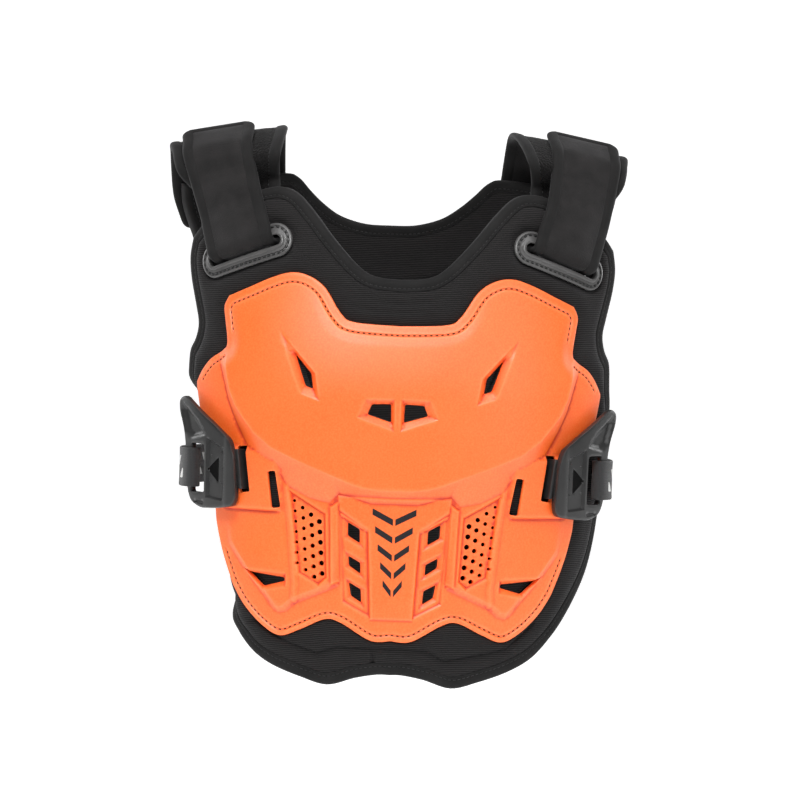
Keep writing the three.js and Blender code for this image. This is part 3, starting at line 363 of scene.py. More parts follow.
def cut_blank(name, outline, holes=(), creases=(), step=2.0, rims=(0.35, 0.9)):
    """A flat blank of sheet, cut to its outline and pierced, in small triangles that follow
    its creases. It lies in x and y, in millimetres, until it is bent."""
    points, edges = [], []

    def lay(path, closed):
        start, count = len(points), len(path)
        points.extend(path)
        edges.extend((start + k, start + (k + 1) % count) for k in range(count - (not closed)))

    lay(outline, True)
    for rim in rims:
        lay(grown(outline, -rim), True)
    for hole in holes:
        lay(hole, True)
        for rim in rims:
            lay(grown(hole, rim), True)
    for crease in creases:
        lay(crease, False)
    low, high = outline.min(axis=0), outline.max(axis=0)
    rows = np.arange(low[1], high[1], step * 0.866)
    filling = []
    for k, y in enumerate(rows):
        row = np.arange(low[0] + (k % 2) * step / 2, high[0], step)
        filling.append(np.stack([row, np.full(len(row), y)], axis=1))
    filling = np.concatenate(filling)
    tree = kdtree.KDTree(len(points))
    for k, point in enumerate(points):
        tree.insert((point[0], point[1], 0), k)
    tree.balance()
    clear = [tree.find((x, y, 0))[2] > step * 0.6 for x, y in filling]
    filling = filling[np.array(clear)]
    filling = filling[beyond(filling, outline) < -0.3]
    spots = [Vector((x, y)) for x, y in list(points) + list(filling)]
    verts, _, faces, *_ = delaunay_2d_cdt(spots, edges, [], 0, 1e-4)
    verts = np.array([(v.x, v.y) for v in verts])
    middles = np.array([verts[list(face)].mean(axis=0) for face in faces])
    keep = beyond(middles, outline) < 0
    for hole in holes:
        low, high = hole.min(axis=0), hole.max(axis=0)
        near = ((middles > low - 1) & (middles < high + 1)).all(axis=1) & keep
        index = np.flatnonzero(near)
        keep[index[beyond(middles[index], hole) < 0]] = False
    blank = linked(name, [(x, y, 0) for x, y in verts],
                   [face for face, kept in zip(faces, keep) if kept])
    take(blank)
    bpy.ops.object.mode_set(mode="EDIT")
    bpy.ops.mesh.select_all(action="SELECT")
    bpy.ops.mesh.delete_loose()
    bpy.ops.object.mode_set(mode="OBJECT")
    return blank


def thicken(blank):
    """Pulls the blank's underside off it as a second layer, one unit down."""
    take(blank)
    bpy.ops.object.mode_set(mode="EDIT")
    bpy.ops.mesh.select_all(action="SELECT")
    bpy.ops.mesh.extrude_region_move(TRANSFORM_OT_translate={"value": (0, 0, -1)})
    bpy.ops.object.mode_set(mode="OBJECT")
    outwards(blank)


def corners_of(piece):
    spots = np.empty(len(piece.data.vertices) * 3)
    piece.data.vertices.foreach_get("co", spots)
    return spots.reshape(-1, 3)


def shape_to(piece, places):
    """Moves the vertices to places in millimetres and turns the faces outwards."""
    piece.data.vertices.foreach_set("co", (np.asarray(places) * 0.001).ravel())
    piece.data.update()
    outwards(piece)


def lay_pattern(piece, flat):
    """Keeps the flat pattern, in metres, as the piece's own UV map."""
    layer = piece.data.uv_layers.new(name="pattern")
    index = np.empty(len(piece.data.loops), dtype=int)
    piece.data.loops.foreach_get("vertex_index", index)
    layer.data.foreach_set("uv", (flat[index][:, :2] * 0.001).ravel())


def both_sides(corners):
    """A table of the left half, and its mirror image."""
    corners = np.array(corners, dtype=float)
    return [corners, (corners * [-1, 1])[::-1]]


plate_outline = pattern_outline([PLATE_TOP, PLATE_SIDE, PLATE_BOTTOM],
                                PLATE_HALF, PLATE_DROP, PLATE_HEIGHT, 1.5)
vent_loops = [closed_loop(loop, 1.5, soften=1.2)
              for corners in VENTS.values() for loop in both_sides(corners)]
slot_loops = []
for slot_arc, slot_z, slot_wide, slot_tall in STRAP_SLOTS:
    lean = np.array([[math.cos(STRAP_SLOT_LEAN), math.sin(STRAP_SLOT_LEAN)],
                     [-math.sin(STRAP_SLOT_LEAN), math.cos(STRAP_SLOT_LEAN)]])
    box = np.array([(-1, -1), (1, -1), (1, 1), (-1, 1)]) * [slot_wide / 2, slot_tall / 2]
    for loop in both_sides(box @ lean.T + [slot_arc, slot_z]):
        slot_loops.append(closed_loop(loop, 1.6, soften=1.2))
hole_loops = []
for hole_arc, hole_z, count, wide in HOLE_COLUMNS:
    for row in range(count):
        ring = np.linspace(0, 2 * math.pi, HOLE_SIDES, endpoint=False)
        spot = np.stack([np.cos(ring), np.sin(ring)], axis=1) * wide / 2
        spot += [hole_arc - row * HOLE_ROW_LEAN, hole_z - row * HOLE_ROW_STEP]
        hole_loops += both_sides(spot)


def line_inside(outline, amount, low, high, side):
    """One run of the outline, moved inwards, between two heights; side 0 takes both sides."""
    inset = grown(outline, -amount)
    inset = inset[np.abs(beyond(inset, outline) + amount) < 0.3]
    kept = (inset[:, 1] > low) & (inset[:, 1] < high)
    if side:
        kept &= inset[:, 0] * side > 0
    start = np.flatnonzero(~kept)[0]
    line = np.roll(inset, -start, axis=0)[np.roll(kept, -start)]
    return spaced(line, step=1.4)


grooves = {name: line_inside(plate_outline, *row) for name, row in GROOVES.items()}
lip_upper = np.array(LIP_UPPER[:-1] + [(-x, z) for x, z in LIP_UPPER[::-1]], dtype=float)
lip_lower = np.array(LIP_LOWER[:-1] + [(-x, z) for x, z in LIP_LOWER[::-1]], dtype=float)
dome_inner = np.concatenate([lip_upper, [(-134.5, -95), (134.5, -95)]])
dome_outer = np.concatenate([lip_lower, [(-150, -85), (150, -85)]])


def dented(points, loop, slope):
    """1 inside a loop, falling to 0 at its edge over the slope."""
    return smooth(-beyond(points, np.array(loop, dtype=float)), 0, slope)


def plate_rise(arc, z):
    """How far the plate's wall stands off the chest sheet."""
    arc = np.abs(arc)
    points = np.stack([arc, z], axis=1)
    inner, outer = beyond(points, dome_inner), beyond(points, dome_outer)
    share = np.clip(inner, 0, None) / (np.clip(inner, 0, None) + np.clip(-outer, 0, None) + 1e-9)
    share = np.where(outer >= 0, 1, share)
    dome = DOME_RISE * smooth(-z, DOME_FADE_START, DOME_FADE_END) * (1 - share)
    dome *= DOME_AT_EDGE + (1 - DOME_AT_EDGE) * smooth(-beyond(points, plate_outline),
                                                       0, DOME_EDGE_FADE)
    off_across = np.abs(arc - PANEL_ACROSS) - PANEL_HALF_ACROSS
    off_up = z + PANEL_DROP - PANEL_HALF_TALL
    off_down = -z - PANEL_DROP - PANEL_HALF_TALL
    panel = PANEL_RISE * (1 - smooth(np.maximum(off_across, off_up), -PANEL_EDGE, 0))
    panel *= 1 - smooth(off_down, -PANEL_LEDGE, 0)
    return np.maximum(dome, panel)


def plate_face(arc, z):
    """Offset of the plate's outer face from the chest sheet, without the rounding of edges."""
    half = np.stack([np.abs(arc), z], axis=1)
    face = PLATE_WALL + plate_rise(arc, z)
    for vent, depth, edge in RECESSES:
        into = np.clip(-beyond(half, np.array(edge, dtype=float)), 0, None)
        out = np.clip(beyond(half, closed_loop(VENTS[vent], 3)), 0, None)
        face -= depth * into / (into + out + 1e-9)
    for loop, rise in ((STACK_RECESS, -STACK_DEPTH), (HOLE_PANEL, -RECESS_DEPTH),
                       (TEE, TEE_RISE), (PILLAR, PILLAR_RISE)):
        face += rise * dented(half, loop, RECESS_SLOPE)
    face += STEP_RISE * dented(half, STEP, STEP_SLOPE) * smooth(-z, *STEP_FADE)
    face += RIB_RISE * np.clip(1 - off_line(half, np.array(RIB)) / RIB_HALF, 0, 1)
    points = np.stack([arc, z], axis=1)
    for groove in grooves.values():
        face -= GROOVE_DEPTH * np.clip(1 - (off_line(points, groove) / GROOVE_HALF) ** 2, 0, 1)
    return face


def beside(line, amount):
    along = np.gradient(line, axis=0)
    along /= np.linalg.norm(along, axis=1)[:, None] + 1e-12
    return line + np.stack([-along[:, 1], along[:, 0]], axis=1) * amount


creases = [spaced(lip_upper, step=1.6), spaced(lip_lower, step=1.6)]
for loop in [edge for _, _, edge in RECESSES] + [STACK_RECESS, HOLE_PANEL, PILLAR, TEE, STEP]:
    for half in both_sides(loop):
        slope = STEP_SLOPE if loop is STEP else RECESS_SLOPE
        ring = closed_loop(half, 1.6)
        creases += [shut(ring), shut(grown(ring, -slope))]
for half in both_sides(RIB):
    creases += [beside(spaced(half, step=1.8), shift) for shift in (-RIB_HALF, 0, RIB_HALF)]
for line in grooves.values():
    creases += [beside(line, shift) for shift in (-GROOVE_HALF, 0, GROOVE_HALF)]
ledge = -PANEL_DROP - PANEL_HALF_TALL
ledge_from, ledge_to = PANEL_ACROSS - PANEL_HALF_ACROSS + 1, PANEL_ACROSS + PANEL_HALF_ACROSS - 1
for side in (-1, 1):
    creases += [spaced([(side * ledge_from, z), (side * ledge_to, z)], step=1.8)
                for z in (ledge, ledge + PANEL_LEDGE)]


def rounding(rim, radius):
    """How far a face drops where its edge is rounded, by the distance from the rim."""
    return radius - np.sqrt(np.clip(radius ** 2 - np.clip(radius - rim, 0, None) ** 2, 0, None))


plate_openings = vent_loops + slot_loops + hole_loops
chest_plate = cut_blank("moulded_plate", plate_outline, plate_openings, creases,
                        step=PLATE_FINENESS)
thicken(chest_plate)
flat = corners_of(chest_plate)
upper_side = flat[:, 2] > -0.5
arcs, heights = flat[:, 0].copy(), flat[:, 1].copy()
face = plate_face(arcs, heights)
rim = np.abs(beyond(flat[:, :2], plate_outline))
for loop in plate_openings:
    low, high = loop.min(axis=0) - 1.2, loop.max(axis=0) + 1.2
    near = np.flatnonzero(((flat[:, :2] > low) & (flat[:, :2] < high)).all(axis=1))
    rim[near] = np.minimum(rim[near], np.abs(beyond(flat[near, :2], loop)))
under = np.minimum(plate_rise(arcs, heights), face - THINNEST)
offset = np.where(upper_side, face - rounding(rim, EDGE_ROUND) * EDGE_DIP, under)
shape_to(chest_plate, on_chest(arcs, heights, offset))
bpy.ops.object.shade_smooth_by_angle(angle=math.radians(17))

# How the face stands against its surroundings: 1 on a crest, -1 in the bottom of a groove
NEARBY, FULL_RELIEF = 1.7, 0.42
around = sum(plate_face(arcs + a, heights + b)
             for a, b in ((NEARBY, 0), (-NEARBY, 0), (0, NEARBY), (0, -NEARBY))) / 4
# Crests and rounded edges get a painted highlight, the bottoms of grooves get painted shade
relief = np.clip((face - around) / FULL_RELIEF, -1, 1) + 0.5 * (rim < EDGE_ROUND)
painted_light_layer = chest_plate.data.attributes.new("relief", "FLOAT", "POINT")
painted_light_layer.data.foreach_set("value", np.where(upper_side, relief, 0).astype(np.float32))


def material(name, colour, roughness):
    """A material with its shader, and the means to add nodes to it."""
    made = bpy.data.materials.new(name)
    made.use_nodes = True
    tree = made.node_tree
    shader = tree.nodes["Principled BSDF"]
    shader.inputs["Base Color"].default_value = (*colour, 1)
    shader.inputs["Roughness"].default_value = roughness
    return made, tree, shader


def node(tree, kind, **inputs):
    made = tree.nodes.new(kind)
    for name, value in inputs.items():
        socket = made.inputs[name.replace("_", " ")]
        if isinstance(value, bpy.types.NodeSocket):
            tree.links.new(value, socket)
        else:
            socket.default_value = value
    return made


def blended(tree, share, low, high):
    """A colour between two others, which are colours or the results of other nodes."""
    mixed = tree.nodes.new("ShaderNodeMix")
    mixed.data_type = "RGBA"
    tree.links.new(share, mixed.inputs["Factor"])
    for socket, colour in ((mixed.inputs[6], low), (mixed.inputs[7], high)):
        if isinstance(colour, bpy.types.NodeSocket):
            tree.links.new(colour, socket)
        else:
            socket.default_value = (*colour, 1)
    return mixed.outputs[2]


def ranged(tree, value, low, high, to_low=0.0, to_high=1.0):
    made = node(tree, "ShaderNodeMapRange", Value=value)
    for socket, number in zip(("From Min", "From Max", "To Min", "To Max"),
                              (low, high, to_low, to_high)):
        made.inputs[socket].default_value = number
    return made.outputs["Result"]


def noise(tree, place, scale, detail):
    made = node(tree, "ShaderNodeTexNoise", Vector=place, Scale=scale, Detail=detail)
    return made.outputs["Fac"]


def reckon(tree, operation, first, second=None, third=None):
    made = tree.nodes.new("ShaderNodeMath")
    made.operation = operation
    for socket, value in zip(made.inputs, (first, second, third)):
        if isinstance(value, bpy.types.NodeSocket):
            tree.links.new(value, socket)
        elif value is not None:
            socket.default_value = value
    return made.outputs["Value"]


def own_place(tree):
    return node(tree, "ShaderNodeTexCoord").outputs["Object"]


def cloth_place(tree):
    """Places on a cloth piece's flat pattern, in metres."""
    pattern = node(tree, "ShaderNodeUVMap")
    pattern.uv_map = "pattern"
    return pattern.outputs["UV"]


def finished(tree, shader, colour=None, relief=None, **values):
    """Gives a shader its colour's node, its fine relief and its plain values."""
    if colour is not None:
        tree.links.new(colour, shader.inputs["Base Color"])
    if relief is not None:
        height, strength, distance = relief
        bump = node(tree, "ShaderNodeBump", Height=height, Strength=strength, Distance=distance)
        tree.links.new(bump.outputs["Normal"], shader.inputs["Normal"])
    for name, value in values.items():
        shader.inputs[name.replace("_", " ")].default_value = value


# Satin moulded plastic: a fine spark-eroded grain, a little cloudy in gloss and in colour
PLATE_ORANGE, PLATE_ORANGE_WORN = (0.95, 0.112, 0.007), (0.98, 0.142, 0.016)
PLATE_SPECKLE, PLATE_PAINTED_HIGHLIGHT, PLATE_PAINTED_SHADE = (1, 0.21, 0.045), (1, 0.27, 0.09), (0.55, 0.022, 0.002)
orange_plastic, tree, shader = material("moulded_orange", PLATE_ORANGE, 0.42)
place = own_place(tree)
cloud = noise(tree, place, 22.0, 4.0)
relief_for_painted_light = tree.nodes.new("ShaderNodeAttribute")
relief_for_painted_light.attribute_name = "relief"
colour = blended(tree, cloud, PLATE_ORANGE, PLATE_ORANGE_WORN)
# The relief attribute paints a highlight on crests and rounded edges, and paints shade into grooves
for value, low, high, most, tone in (
        (noise(tree, place, 700.0, 2.0), 0.35, 0.75, 0.5, PLATE_SPECKLE),
        (relief_for_painted_light.outputs["Fac"], 0.1, 1, 0.4, PLATE_PAINTED_HIGHLIGHT),
        (relief_for_painted_light.outputs["Fac"], -0.08, -0.9, 0.9, PLATE_PAINTED_SHADE)):
    colour = blended(tree, ranged(tree, value, low, high, 0, most), colour, tone)
tree.links.new(ranged(tree, cloud, 0, 1, 0.4, 0.52), shader.inputs["Roughness"])
finished(tree, shader, colour, (noise(tree, place, 1500.0, 2.0), 0.16, 0.0004),
         Specular_IOR_Level=0.65, Subsurface_Weight=0.06,
         Subsurface_Radius=(0.004, 0.001, 0.0005))
chest_plate.data.materials.append(orange_plastic)
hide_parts("chest_plate")
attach(chest_plate, "root")


# Front pad: 9 mm foam laminated between two faces of ribbed black knit, moulded to the chest,
# with channels pressed into it. It lies under the whole plate and stands out round it.
PAD_WALL, PAD_PROUD, PAD_HALF, PAD_TOP_DROP = 9, 1, 192, 40.5
PAD_TOP = [(0, 0.182), (0.104, 0.177), (0.172, 0.158), (0.27, 0.106), (0.365, 0.047),
           (0.438, 0.011), (0.51, 0), (0.6, 0.009), (0.73, 0.038), (0.86, 0.073), (0.937, 0.106)]
PAD_SIDE = [(0.937, 0.106), (0.958, 0.146), (0.948, 0.19), (0.911, 0.248), (0.893, 0.283),
            (0.912, 0.312), (0.956, 0.34), (0.975, 0.392), (1, 0.44), (1, 0.53), (0.975, 0.623),
            (0.943, 0.703), (0.885, 0.77), (0.785, 0.838)]
PAD_BOTTOM = [(0.785, 0.838), (0.693, 0.892), (0.59, 0.938), (0.48, 0.966), (0.355, 0.987),
              (0.245, 1), (0.135, 0.984), (0.05, 0.976), (0, 0.976)]
PAD_INSET = 8.6
# Degrees that the pad's border turns in past the plate's edge, on the right and on the left,
# the heights between which that sets in, and how far round the arc it takes
FLANK_CURL, FLANK_BEGINS, FLANK_SPREAD = (38, 2), (185, 215), 18
# Above the plate's lower corner the right flank is tucked in more, from under the plate's edge
FLANK_TUCK, FLANK_START, FLANK_TUCKED = 20, 11, (338, 378)
# Towards the pad's lower corner the right border opens out again, to a share of its turn
FLANK_OPENS, FLANK_LEFT = (350, 384), 0.3
# The crown between plate and binding, how far in it is full, and the dip at the seam
PAD_CROWN, PAD_SWELL, PAD_BEDDED, PAD_DIP, PAD_DIP_WIDE = 2.4, 9, 3.2, 1.3, 3.5
NECK_DEPTH, HEM_DEPTH, CHANNEL_HALF, UNEVEN = 0.7, 2.6, 2.8, 0.3
STACK_CUTOUT = [(35.4, -291.4), (25.3, -296.6), (22.5, -354.3), (31, -349.1)]
SLOT_ACROSS, SLOT_DROP, SLOT_LEAN, SLOT_LENGTH, SLOT_TALL = 124.5, 90.5, 18, 65, 8
FRAME_BAR = 9
NECK_CHANNEL = [(-52, -97), (-36, -115), (-22, -124.5), (0, -127.5), (22, -124.5), (36, -115),
                (52, -97)]
NECK_CREASE = [(-34, -131), (-18, -133.5), (0, -134), (14, -133)]
HEM_CHANNEL = [(-108, -371), (-84, -384.5), (-55, -393.3), (-40, -387.7), (27, -389.2),
               (40, -396.2), (89, -387), (112, -368)]
HEM_SEAM = [(-12.8, -391.5), (-12.8, -402.3)]

pad_edge_rows = [(a * PLATE_HALF, -PLATE_DROP - d * PLATE_HEIGHT)
                 for a, d in PLATE_SIDE + PLATE_BOTTOM[1:4]]


def plate_edge(z):
    """Where the plate's side edge is at a height."""
    rows = np.array(pad_edge_rows)
    return np.interp(-z, -rows[:, 1], rows[:, 0])


def on_front_pad(arc, z, w):
    arc, z, w = (np.asarray(v, dtype=float) for v in np.broadcast_arrays(arc, z, w))
    tucked = 1 - smooth(-z, *FLANK_TUCKED)
    curl = np.where(arc < 0, *FLANK_CURL) + np.where(arc < 0, FLANK_TUCK * tucked, 0)
    curl = np.radians(curl) * smooth(-z, *FLANK_BEGINS)
    curl = curl * np.where(arc < 0, 1 - (1 - FLANK_LEFT) * smooth(-z, *FLANK_OPENS), 1)
    start = plate_edge(z) - FLANK_START * tucked
    return bent(arc, z, w, lambda length: chest_turn(z, length)
                + curl * smooth(length, start, start + FLANK_SPREAD),
                stand_at(z, CHEST_PROFILE, CHEST_STAND), -1)


def on_frame(points, side):
    """From a slot frame's own axes to the chest sheet: the slot falls outwards by its lean."""
    lean = -math.radians(SLOT_LEAN)
    x = points[:, 0] * math.cos(lean) - points[:, 1] * math.sin(lean)
    y = points[:, 0] * math.sin(lean) + points[:, 1] * math.cos(lean)
    return np.stack([side * (SLOT_ACROSS + x), -SLOT_DROP + y], axis=1)


def slot_ring(grow, side, step=None, turns=None, sides=None):
    """The slot's outline on the chest sheet, grown outwards, in even steps or in counts."""
    radius, straight = SLOT_TALL / 2 + grow, (SLOT_LENGTH - SLOT_TALL) / 2
    turns = turns or max(8, int(math.pi * radius / step))
    sides = sides or max(2, int(2 * straight / step))
    arc = np.linspace(-math.pi / 2, math.pi / 2, turns + 1)
    cap = np.stack([straight + radius * np.cos(arc), radius * np.sin(arc)], axis=1)
    top = np.stack([np.linspace(straight, -straight, sides + 1),
                    np.full(sides + 1, radius)], axis=1)
    half = np.concatenate([cap, top[1:-1]])
    return on_frame(np.concatenate([half, -half]), side)


pad_outline = pattern_outline([PAD_TOP, PAD_SIDE, PAD_BOTTOM], PAD_HALF, PAD_TOP_DROP,
                              VEST_DROP - PAD_TOP_DROP, 3.0)
pad_panel = grown(pad_outline, -PAD_INSET + 1.2)
pad_holes = [closed_loop(loop, 2.5) for corners in
             (VENTS["upper"], VENTS["centre"], VENTS["lower"], STACK_CUTOUT)
             for loop in both_sides(corners)]
pad_holes += [slot_ring(1.5, side, 2.5) for side in (-1, 1)]
front_channels = [spaced(spline(line, 200), step=2.0) for line in (NECK_CHANNEL, NECK_CREASE)]
front_channels += [spaced(line, step=2.0) for line in (HEM_CHANNEL, HEM_SEAM)]
front_channels += [shut(slot_ring(FRAME_BAR + 0.5, side, 2.5)) for side in (-1, 1)]
pad_creases = [beside(line, shift) for line in front_channels
               for shift in (-CHANNEL_HALF, -CHANNEL_HALF / 2, 0, CHANNEL_HALF / 2, CHANNEL_HALF)]
for reach in (-6, 0.8, 3, 6):
    pad_creases.append(shut(grown(spaced(shut(plate_outline), step=2.6)[:-1], reach)))


def front_pad_face(arc, z):
    """Outer face of the pad: bedded under the plate, crowned between plate and binding."""
    points = np.stack([arc, z], axis=1)
    plate_away = beyond(points, plate_outline)
    edge_in = -beyond(points, pad_panel)
    crown = PAD_CROWN * smooth(plate_away, -0.5, PAD_SWELL) * smooth(edge_in, -1.5, PAD_SWELL)
    face = PAD_PROUD + crown - PAD_DIP * (1 - smooth(edge_in, 0, PAD_DIP_WIDE))
    for side in (-1, 1):
        seat = beyond(points, slot_ring(FRAME_BAR, side, 3))
        face -= (face - PAD_PROUD + 0.5) * (1 - smooth(seat, 0, 7))
    for line in front_channels:
        depth = NECK_DEPTH if line[:, 1].max() > -300 else HEM_DEPTH
        face -= depth * smooth(CHANNEL_HALF - off_line(points, line), 0, CHANNEL_HALF)
    bedded = plate_rise(arc, z) - PAD_BEDDED
    waves = np.sin(arc / 9 + z / 17) * np.sin(z / 11 - arc / 23)
    face += UNEVEN * waves * smooth(edge_in, 4, 12)
    return np.where(plate_away < -5, bedded, face + (np.minimum(bedded, 0) - face)
                    * (1 - smooth(plate_away, -5, 0.5)))


def soft_pad(name, outline, holes, lines, face_at, back_at, place_at, finish, step):
    """A pad of foam: blank, second layer, bent to the body, with its flat pattern kept."""
    pad = cut_blank(name, outline, holes, lines, step=step, rims=(1.2, 3.2))
    thicken(pad)
    flat = corners_of(pad)
    outer = flat[:, 2] > -0.5
    w = np.where(outer, face_at(flat[:, 0], flat[:, 1]), back_at(flat[:, 0], flat[:, 1]))
    shape_to(pad, place_at(flat[:, 0], flat[:, 1], w))
    lay_pattern(pad, flat)
    pad.data.materials.append(finish)
    bpy.ops.object.shade_smooth_by_angle(angle=math.radians(60))
    return pad


# Ribbed knit: fine cross ribs that follow the cloth, a soft nap and a slight sheen
RIB_STEP = 0.00145
WAVES_A_METRE = 2 * math.pi / 20
ribbed_knit, tree, shader = material("ribbed_knit", (0.012, 0.012, 0.012), 0.9)
place = cloth_place(tree)
ribs = node(tree, "ShaderNodeTexWave", Vector=place, Scale=WAVES_A_METRE / RIB_STEP,
            Distortion=0.6, Detail=1.0, Detail_Scale=3.0)
ribs.bands_direction = "Y"
height = reckon(tree, "MULTIPLY_ADD", ribs.outputs["Fac"], 0.8, noise(tree, place, 1700.0, 2.0))
colour = blended(tree, ribs.outputs["Fac"], (0.003, 0.003, 0.003), (0.026, 0.024, 0.024))
finished(tree, shader, colour, (height, 0.55, 0.0006), Sheen_Weight=0.12, Sheen_Roughness=0.5,
         Sheen_Tint=(0.5, 0.5, 0.52, 1), Specular_IOR_Level=0.12)

front_pad = soft_pad(
    "front_foam_pad", pad_panel, pad_holes, pad_creases, front_pad_face,
    lambda arc, z: np.full(len(arc), float(PAD_PROUD - PAD_WALL)), on_front_pad, ribbed_knit, 4.0)
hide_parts("front_pad")
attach(front_pad, "root")


# Binding of the front pad: a smooth stretch tape folded over the edge and stitched through on
# both faces, 8 mm to each side of the fold.
BINDING_PROUD = 0.8
BINDING_ROUND = [(-9.4, 0.05), (-8.4, 0.75), (-7.2, 0.42), (-6.4, 0.42), (-5.2, 0.95),
                 (-3.2, 1.05), (-1.5, 0.65), (-0.4, -0.7), (0, -2.2)]
# The seam: how far in from the edge, how far off the face, the step, a stitch's length and width
SEAM_IN, SEAM_RISE, SEAM_STEP, STITCH_LONG, STITCH_WIDE = 6.8, 0.42, 3.6, 2.4, 0.55


def ring_faces(deep, count):
    """Faces of a closed ring of skin: closed rows of points, each row next to the last."""
    return [(r * count + k, r * count + (k + 1) % count,
             (r + 1) % deep * count + (k + 1) % count, (r + 1) % deep * count + k)
            for r in range(deep) for k in range(count)]


def tape_edge(name, outline, face, wall, place_at, finish):
    """A tape folded round the edge of a pad, as a ring of sections along its outline."""
    middle = face - wall / 2
    upper = [(grow, face + rise) for grow, rise in BINDING_ROUND]
    section = upper + [(grow, 2 * middle - w) for grow, w in upper[::-1]]
    normals = loop_normals(outline)
    rows = [place_at(*(outline + normals * grow).T, np.full(len(outline), w))
            for grow, w in section]
    count, deep = len(outline), len(section)
    tape = skin(name, np.concatenate(rows), ring_faces(deep, count), finish)
    run = np.concatenate([[0], np.cumsum(np.linalg.norm(np.diff(outline, axis=0), axis=1))])
    lay_pattern(tape, np.array([(run[k], 1.2 * r) for r in range(deep) for k in range(count)]))
    bpy.ops.object.shade_smooth()
    return tape


# Sections of one stitch: share of its length, share of its width above the cloth, and its girth
STITCH_FORM = [(-0.5, -0.35, 0.5), (-0.3, 0.28, 1), (0.3, 0.28, 1), (0.5, -0.35, 0.5)]


def stitch_row(name, seats, ups, long, thick, finish):
    """A row of stitches: each is a short thread that dips into the cloth at both ends."""
    seats, ups = np.asarray(seats), np.asarray(ups)
    along = np.gradient(seats, axis=0)
    along /= np.linalg.norm(along, axis=1)[:, None] + 1e-12
    ups = ups / (np.linalg.norm(ups, axis=1)[:, None] + 1e-12)
    beam = np.cross(ups, along)
    verts, faces = [], []
    for seat, run, up, side in zip(seats, along, ups, beam):
        start = len(verts)
        for share, lift, wide in STITCH_FORM:
            middle = seat + run * share * long + up * lift * thick
            verts += [middle + (side * a + up * b) * wide * thick / 2
                      for a, b in ((1, 0), (0, 1), (-1, 0), (0, -1))]
        for first in range(start, start + 12, 4):
            for k in range(4):
                a, b = first + k, first + (k + 1) % 4
                faces.append((a, b, b + 4, a + 4))
        faces += [(start + 3, start + 2, start + 1, start), tuple(range(start + 12, start + 16))]
    row = skin(name, verts, faces, finish)
    bpy.ops.object.shade_smooth()
    return row


def face_seats(line, face_at, place_at, lift=0.0):
    """Seats and outward directions for stitches along a line on a bent sheet."""
    arc, z = line[:, 0], line[:, 1]
    w = face_at(arc, z)
    return place_at(arc, z, w + lift), place_at(arc, z, w + 1) - place_at(arc, z, w)


# Stretch tape: matt, finely ribbed along its length
stretch_tape, tree, shader = material("stretch_tape", (0.022, 0.022, 0.023), 0.8)
place = cloth_place(tree)
colour = blended(tree, noise(tree, place, 45.0, 3.0), (0.006, 0.006, 0.006), (0.018, 0.017, 0.017))
finished(tree, shader, colour, (noise(tree, place, 1500.0, 3.0), 0.35, 0.0004), Sheen_Weight=0.12,
         Sheen_Roughness=0.4, Sheen_Tint=(0.6, 0.6, 0.62, 1), Specular_IOR_Level=0.15)


def thread(name, colour, roughness):
    """Sewing thread: polyester with a faint twist."""
    made, tree, shader = material(name, colour, roughness)
    finished(tree, shader, None, (noise(tree, own_place(tree), 2500.0, 1.0), 0.3, 0.0002))
    return made


black_thread = thread("black_thread", (0.009, 0.009, 0.009), 0.55)
front_binding = tape_edge("front_stretch_binding", pad_outline, PAD_PROUD, PAD_WALL,
                          on_front_pad, stretch_tape)
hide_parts("front_binding")
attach(front_binding, "root")
seam = spaced(shut(grown(pad_outline, -SEAM_IN)), step=SEAM_STEP)
seats, ups = face_seats(seam, lambda a, z: np.full(len(a), PAD_PROUD + SEAM_RISE), on_front_pad)
front_seam = stitch_row("front_binding_stitches", seats, ups, STITCH_LONG, STITCH_WIDE,
                        black_thread)
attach(front_seam, "root")


# Thread of the plate: orange, sewn through the grooves along its upper and lower edges
orange_thread = thread("orange_thread", (0.80, 0.24, 0.10), 0.6)
needle_painted_shade, _, _ = material("needle_hole_shade", (0.035, 0.003, 0.001), 0.95)
for groove_name, groove in grooves.items():
    line = spaced(groove, step=2.1)
    seats, ups = face_seats(line, plate_face, on_chest, 0.05)
    row = stitch_row(f"plate_{groove_name}_stitches", seats[::2], ups[::2], 2.8, 0.8,
                     orange_thread)
    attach(row, "root")
    # Between the stitches, dark stubs sunk into the groove are painted shade at the needle holes
    row = stitch_row(f"plate_{groove_name}_painted_needle_shade", seats[1::2] - ups[1::2] * 0.12, ups[1::2],
                     2.1, 1.15, needle_painted_shade)
    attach(row, "root")


# Back pad: the same laminate, gently bent to the back, with channels pressed across it and a
# taped edge. It hangs a little to one side in the photograph.
BACK_ARC, BACK_TURN_TOP, BACK_TURN_BOTTOM = 185, 22, 62
BACK_TURN_START, BACK_TURN_DROP = 20, 140
BACK_STAND = 105
BACK_PROFILE = [(0.02, 0.48), (0.096, 0.7), (0.153, 0.81), (0.24, 0.915), (0.48, 1), (0.72, 0.96),
                (0.96, 0.876)]
SWAY_ABOVE, SWAY_BELOW, SWAY_START, SWAY_TURN_START, SWAY_TURN_DROP = -0.07, 0.06, -80, 150, 100
BACK_DROP, BACK_HEIGHT = 26, 379
BACK_CROWN, BACK_SWELL, CHANNEL_DEPTH, BACK_CHANNEL_HALF = 2.2, 12, 2.4, 2.2
HOLLOW_DEPTH, HOLLOW_WIDE, BACK_INSIDE_SHARE = 0.8, 9, 0.7
BACK_TOP = [(0, 0.102), (0.11, 0.1), (0.22, 0.085), (0.3, 0.06), (0.36, 0.034), (0.415, 0.008),
            (0.48, 0), (0.7, 0.012), (0.94, 0.03)]
BACK_SIDE = [(0.94, 0.03), (0.935, 0.08), (0.895, 0.15), (0.86, 0.23), (0.84, 0.31), (0.838, 0.4),
             (0.842, 0.5), (0.84, 0.73), (0.81, 0.86), (0.73, 0.937)]
BACK_BOTTOM = [(0.73, 0.937), (0.6, 0.975), (0.32, 0.997), (0, 1)]
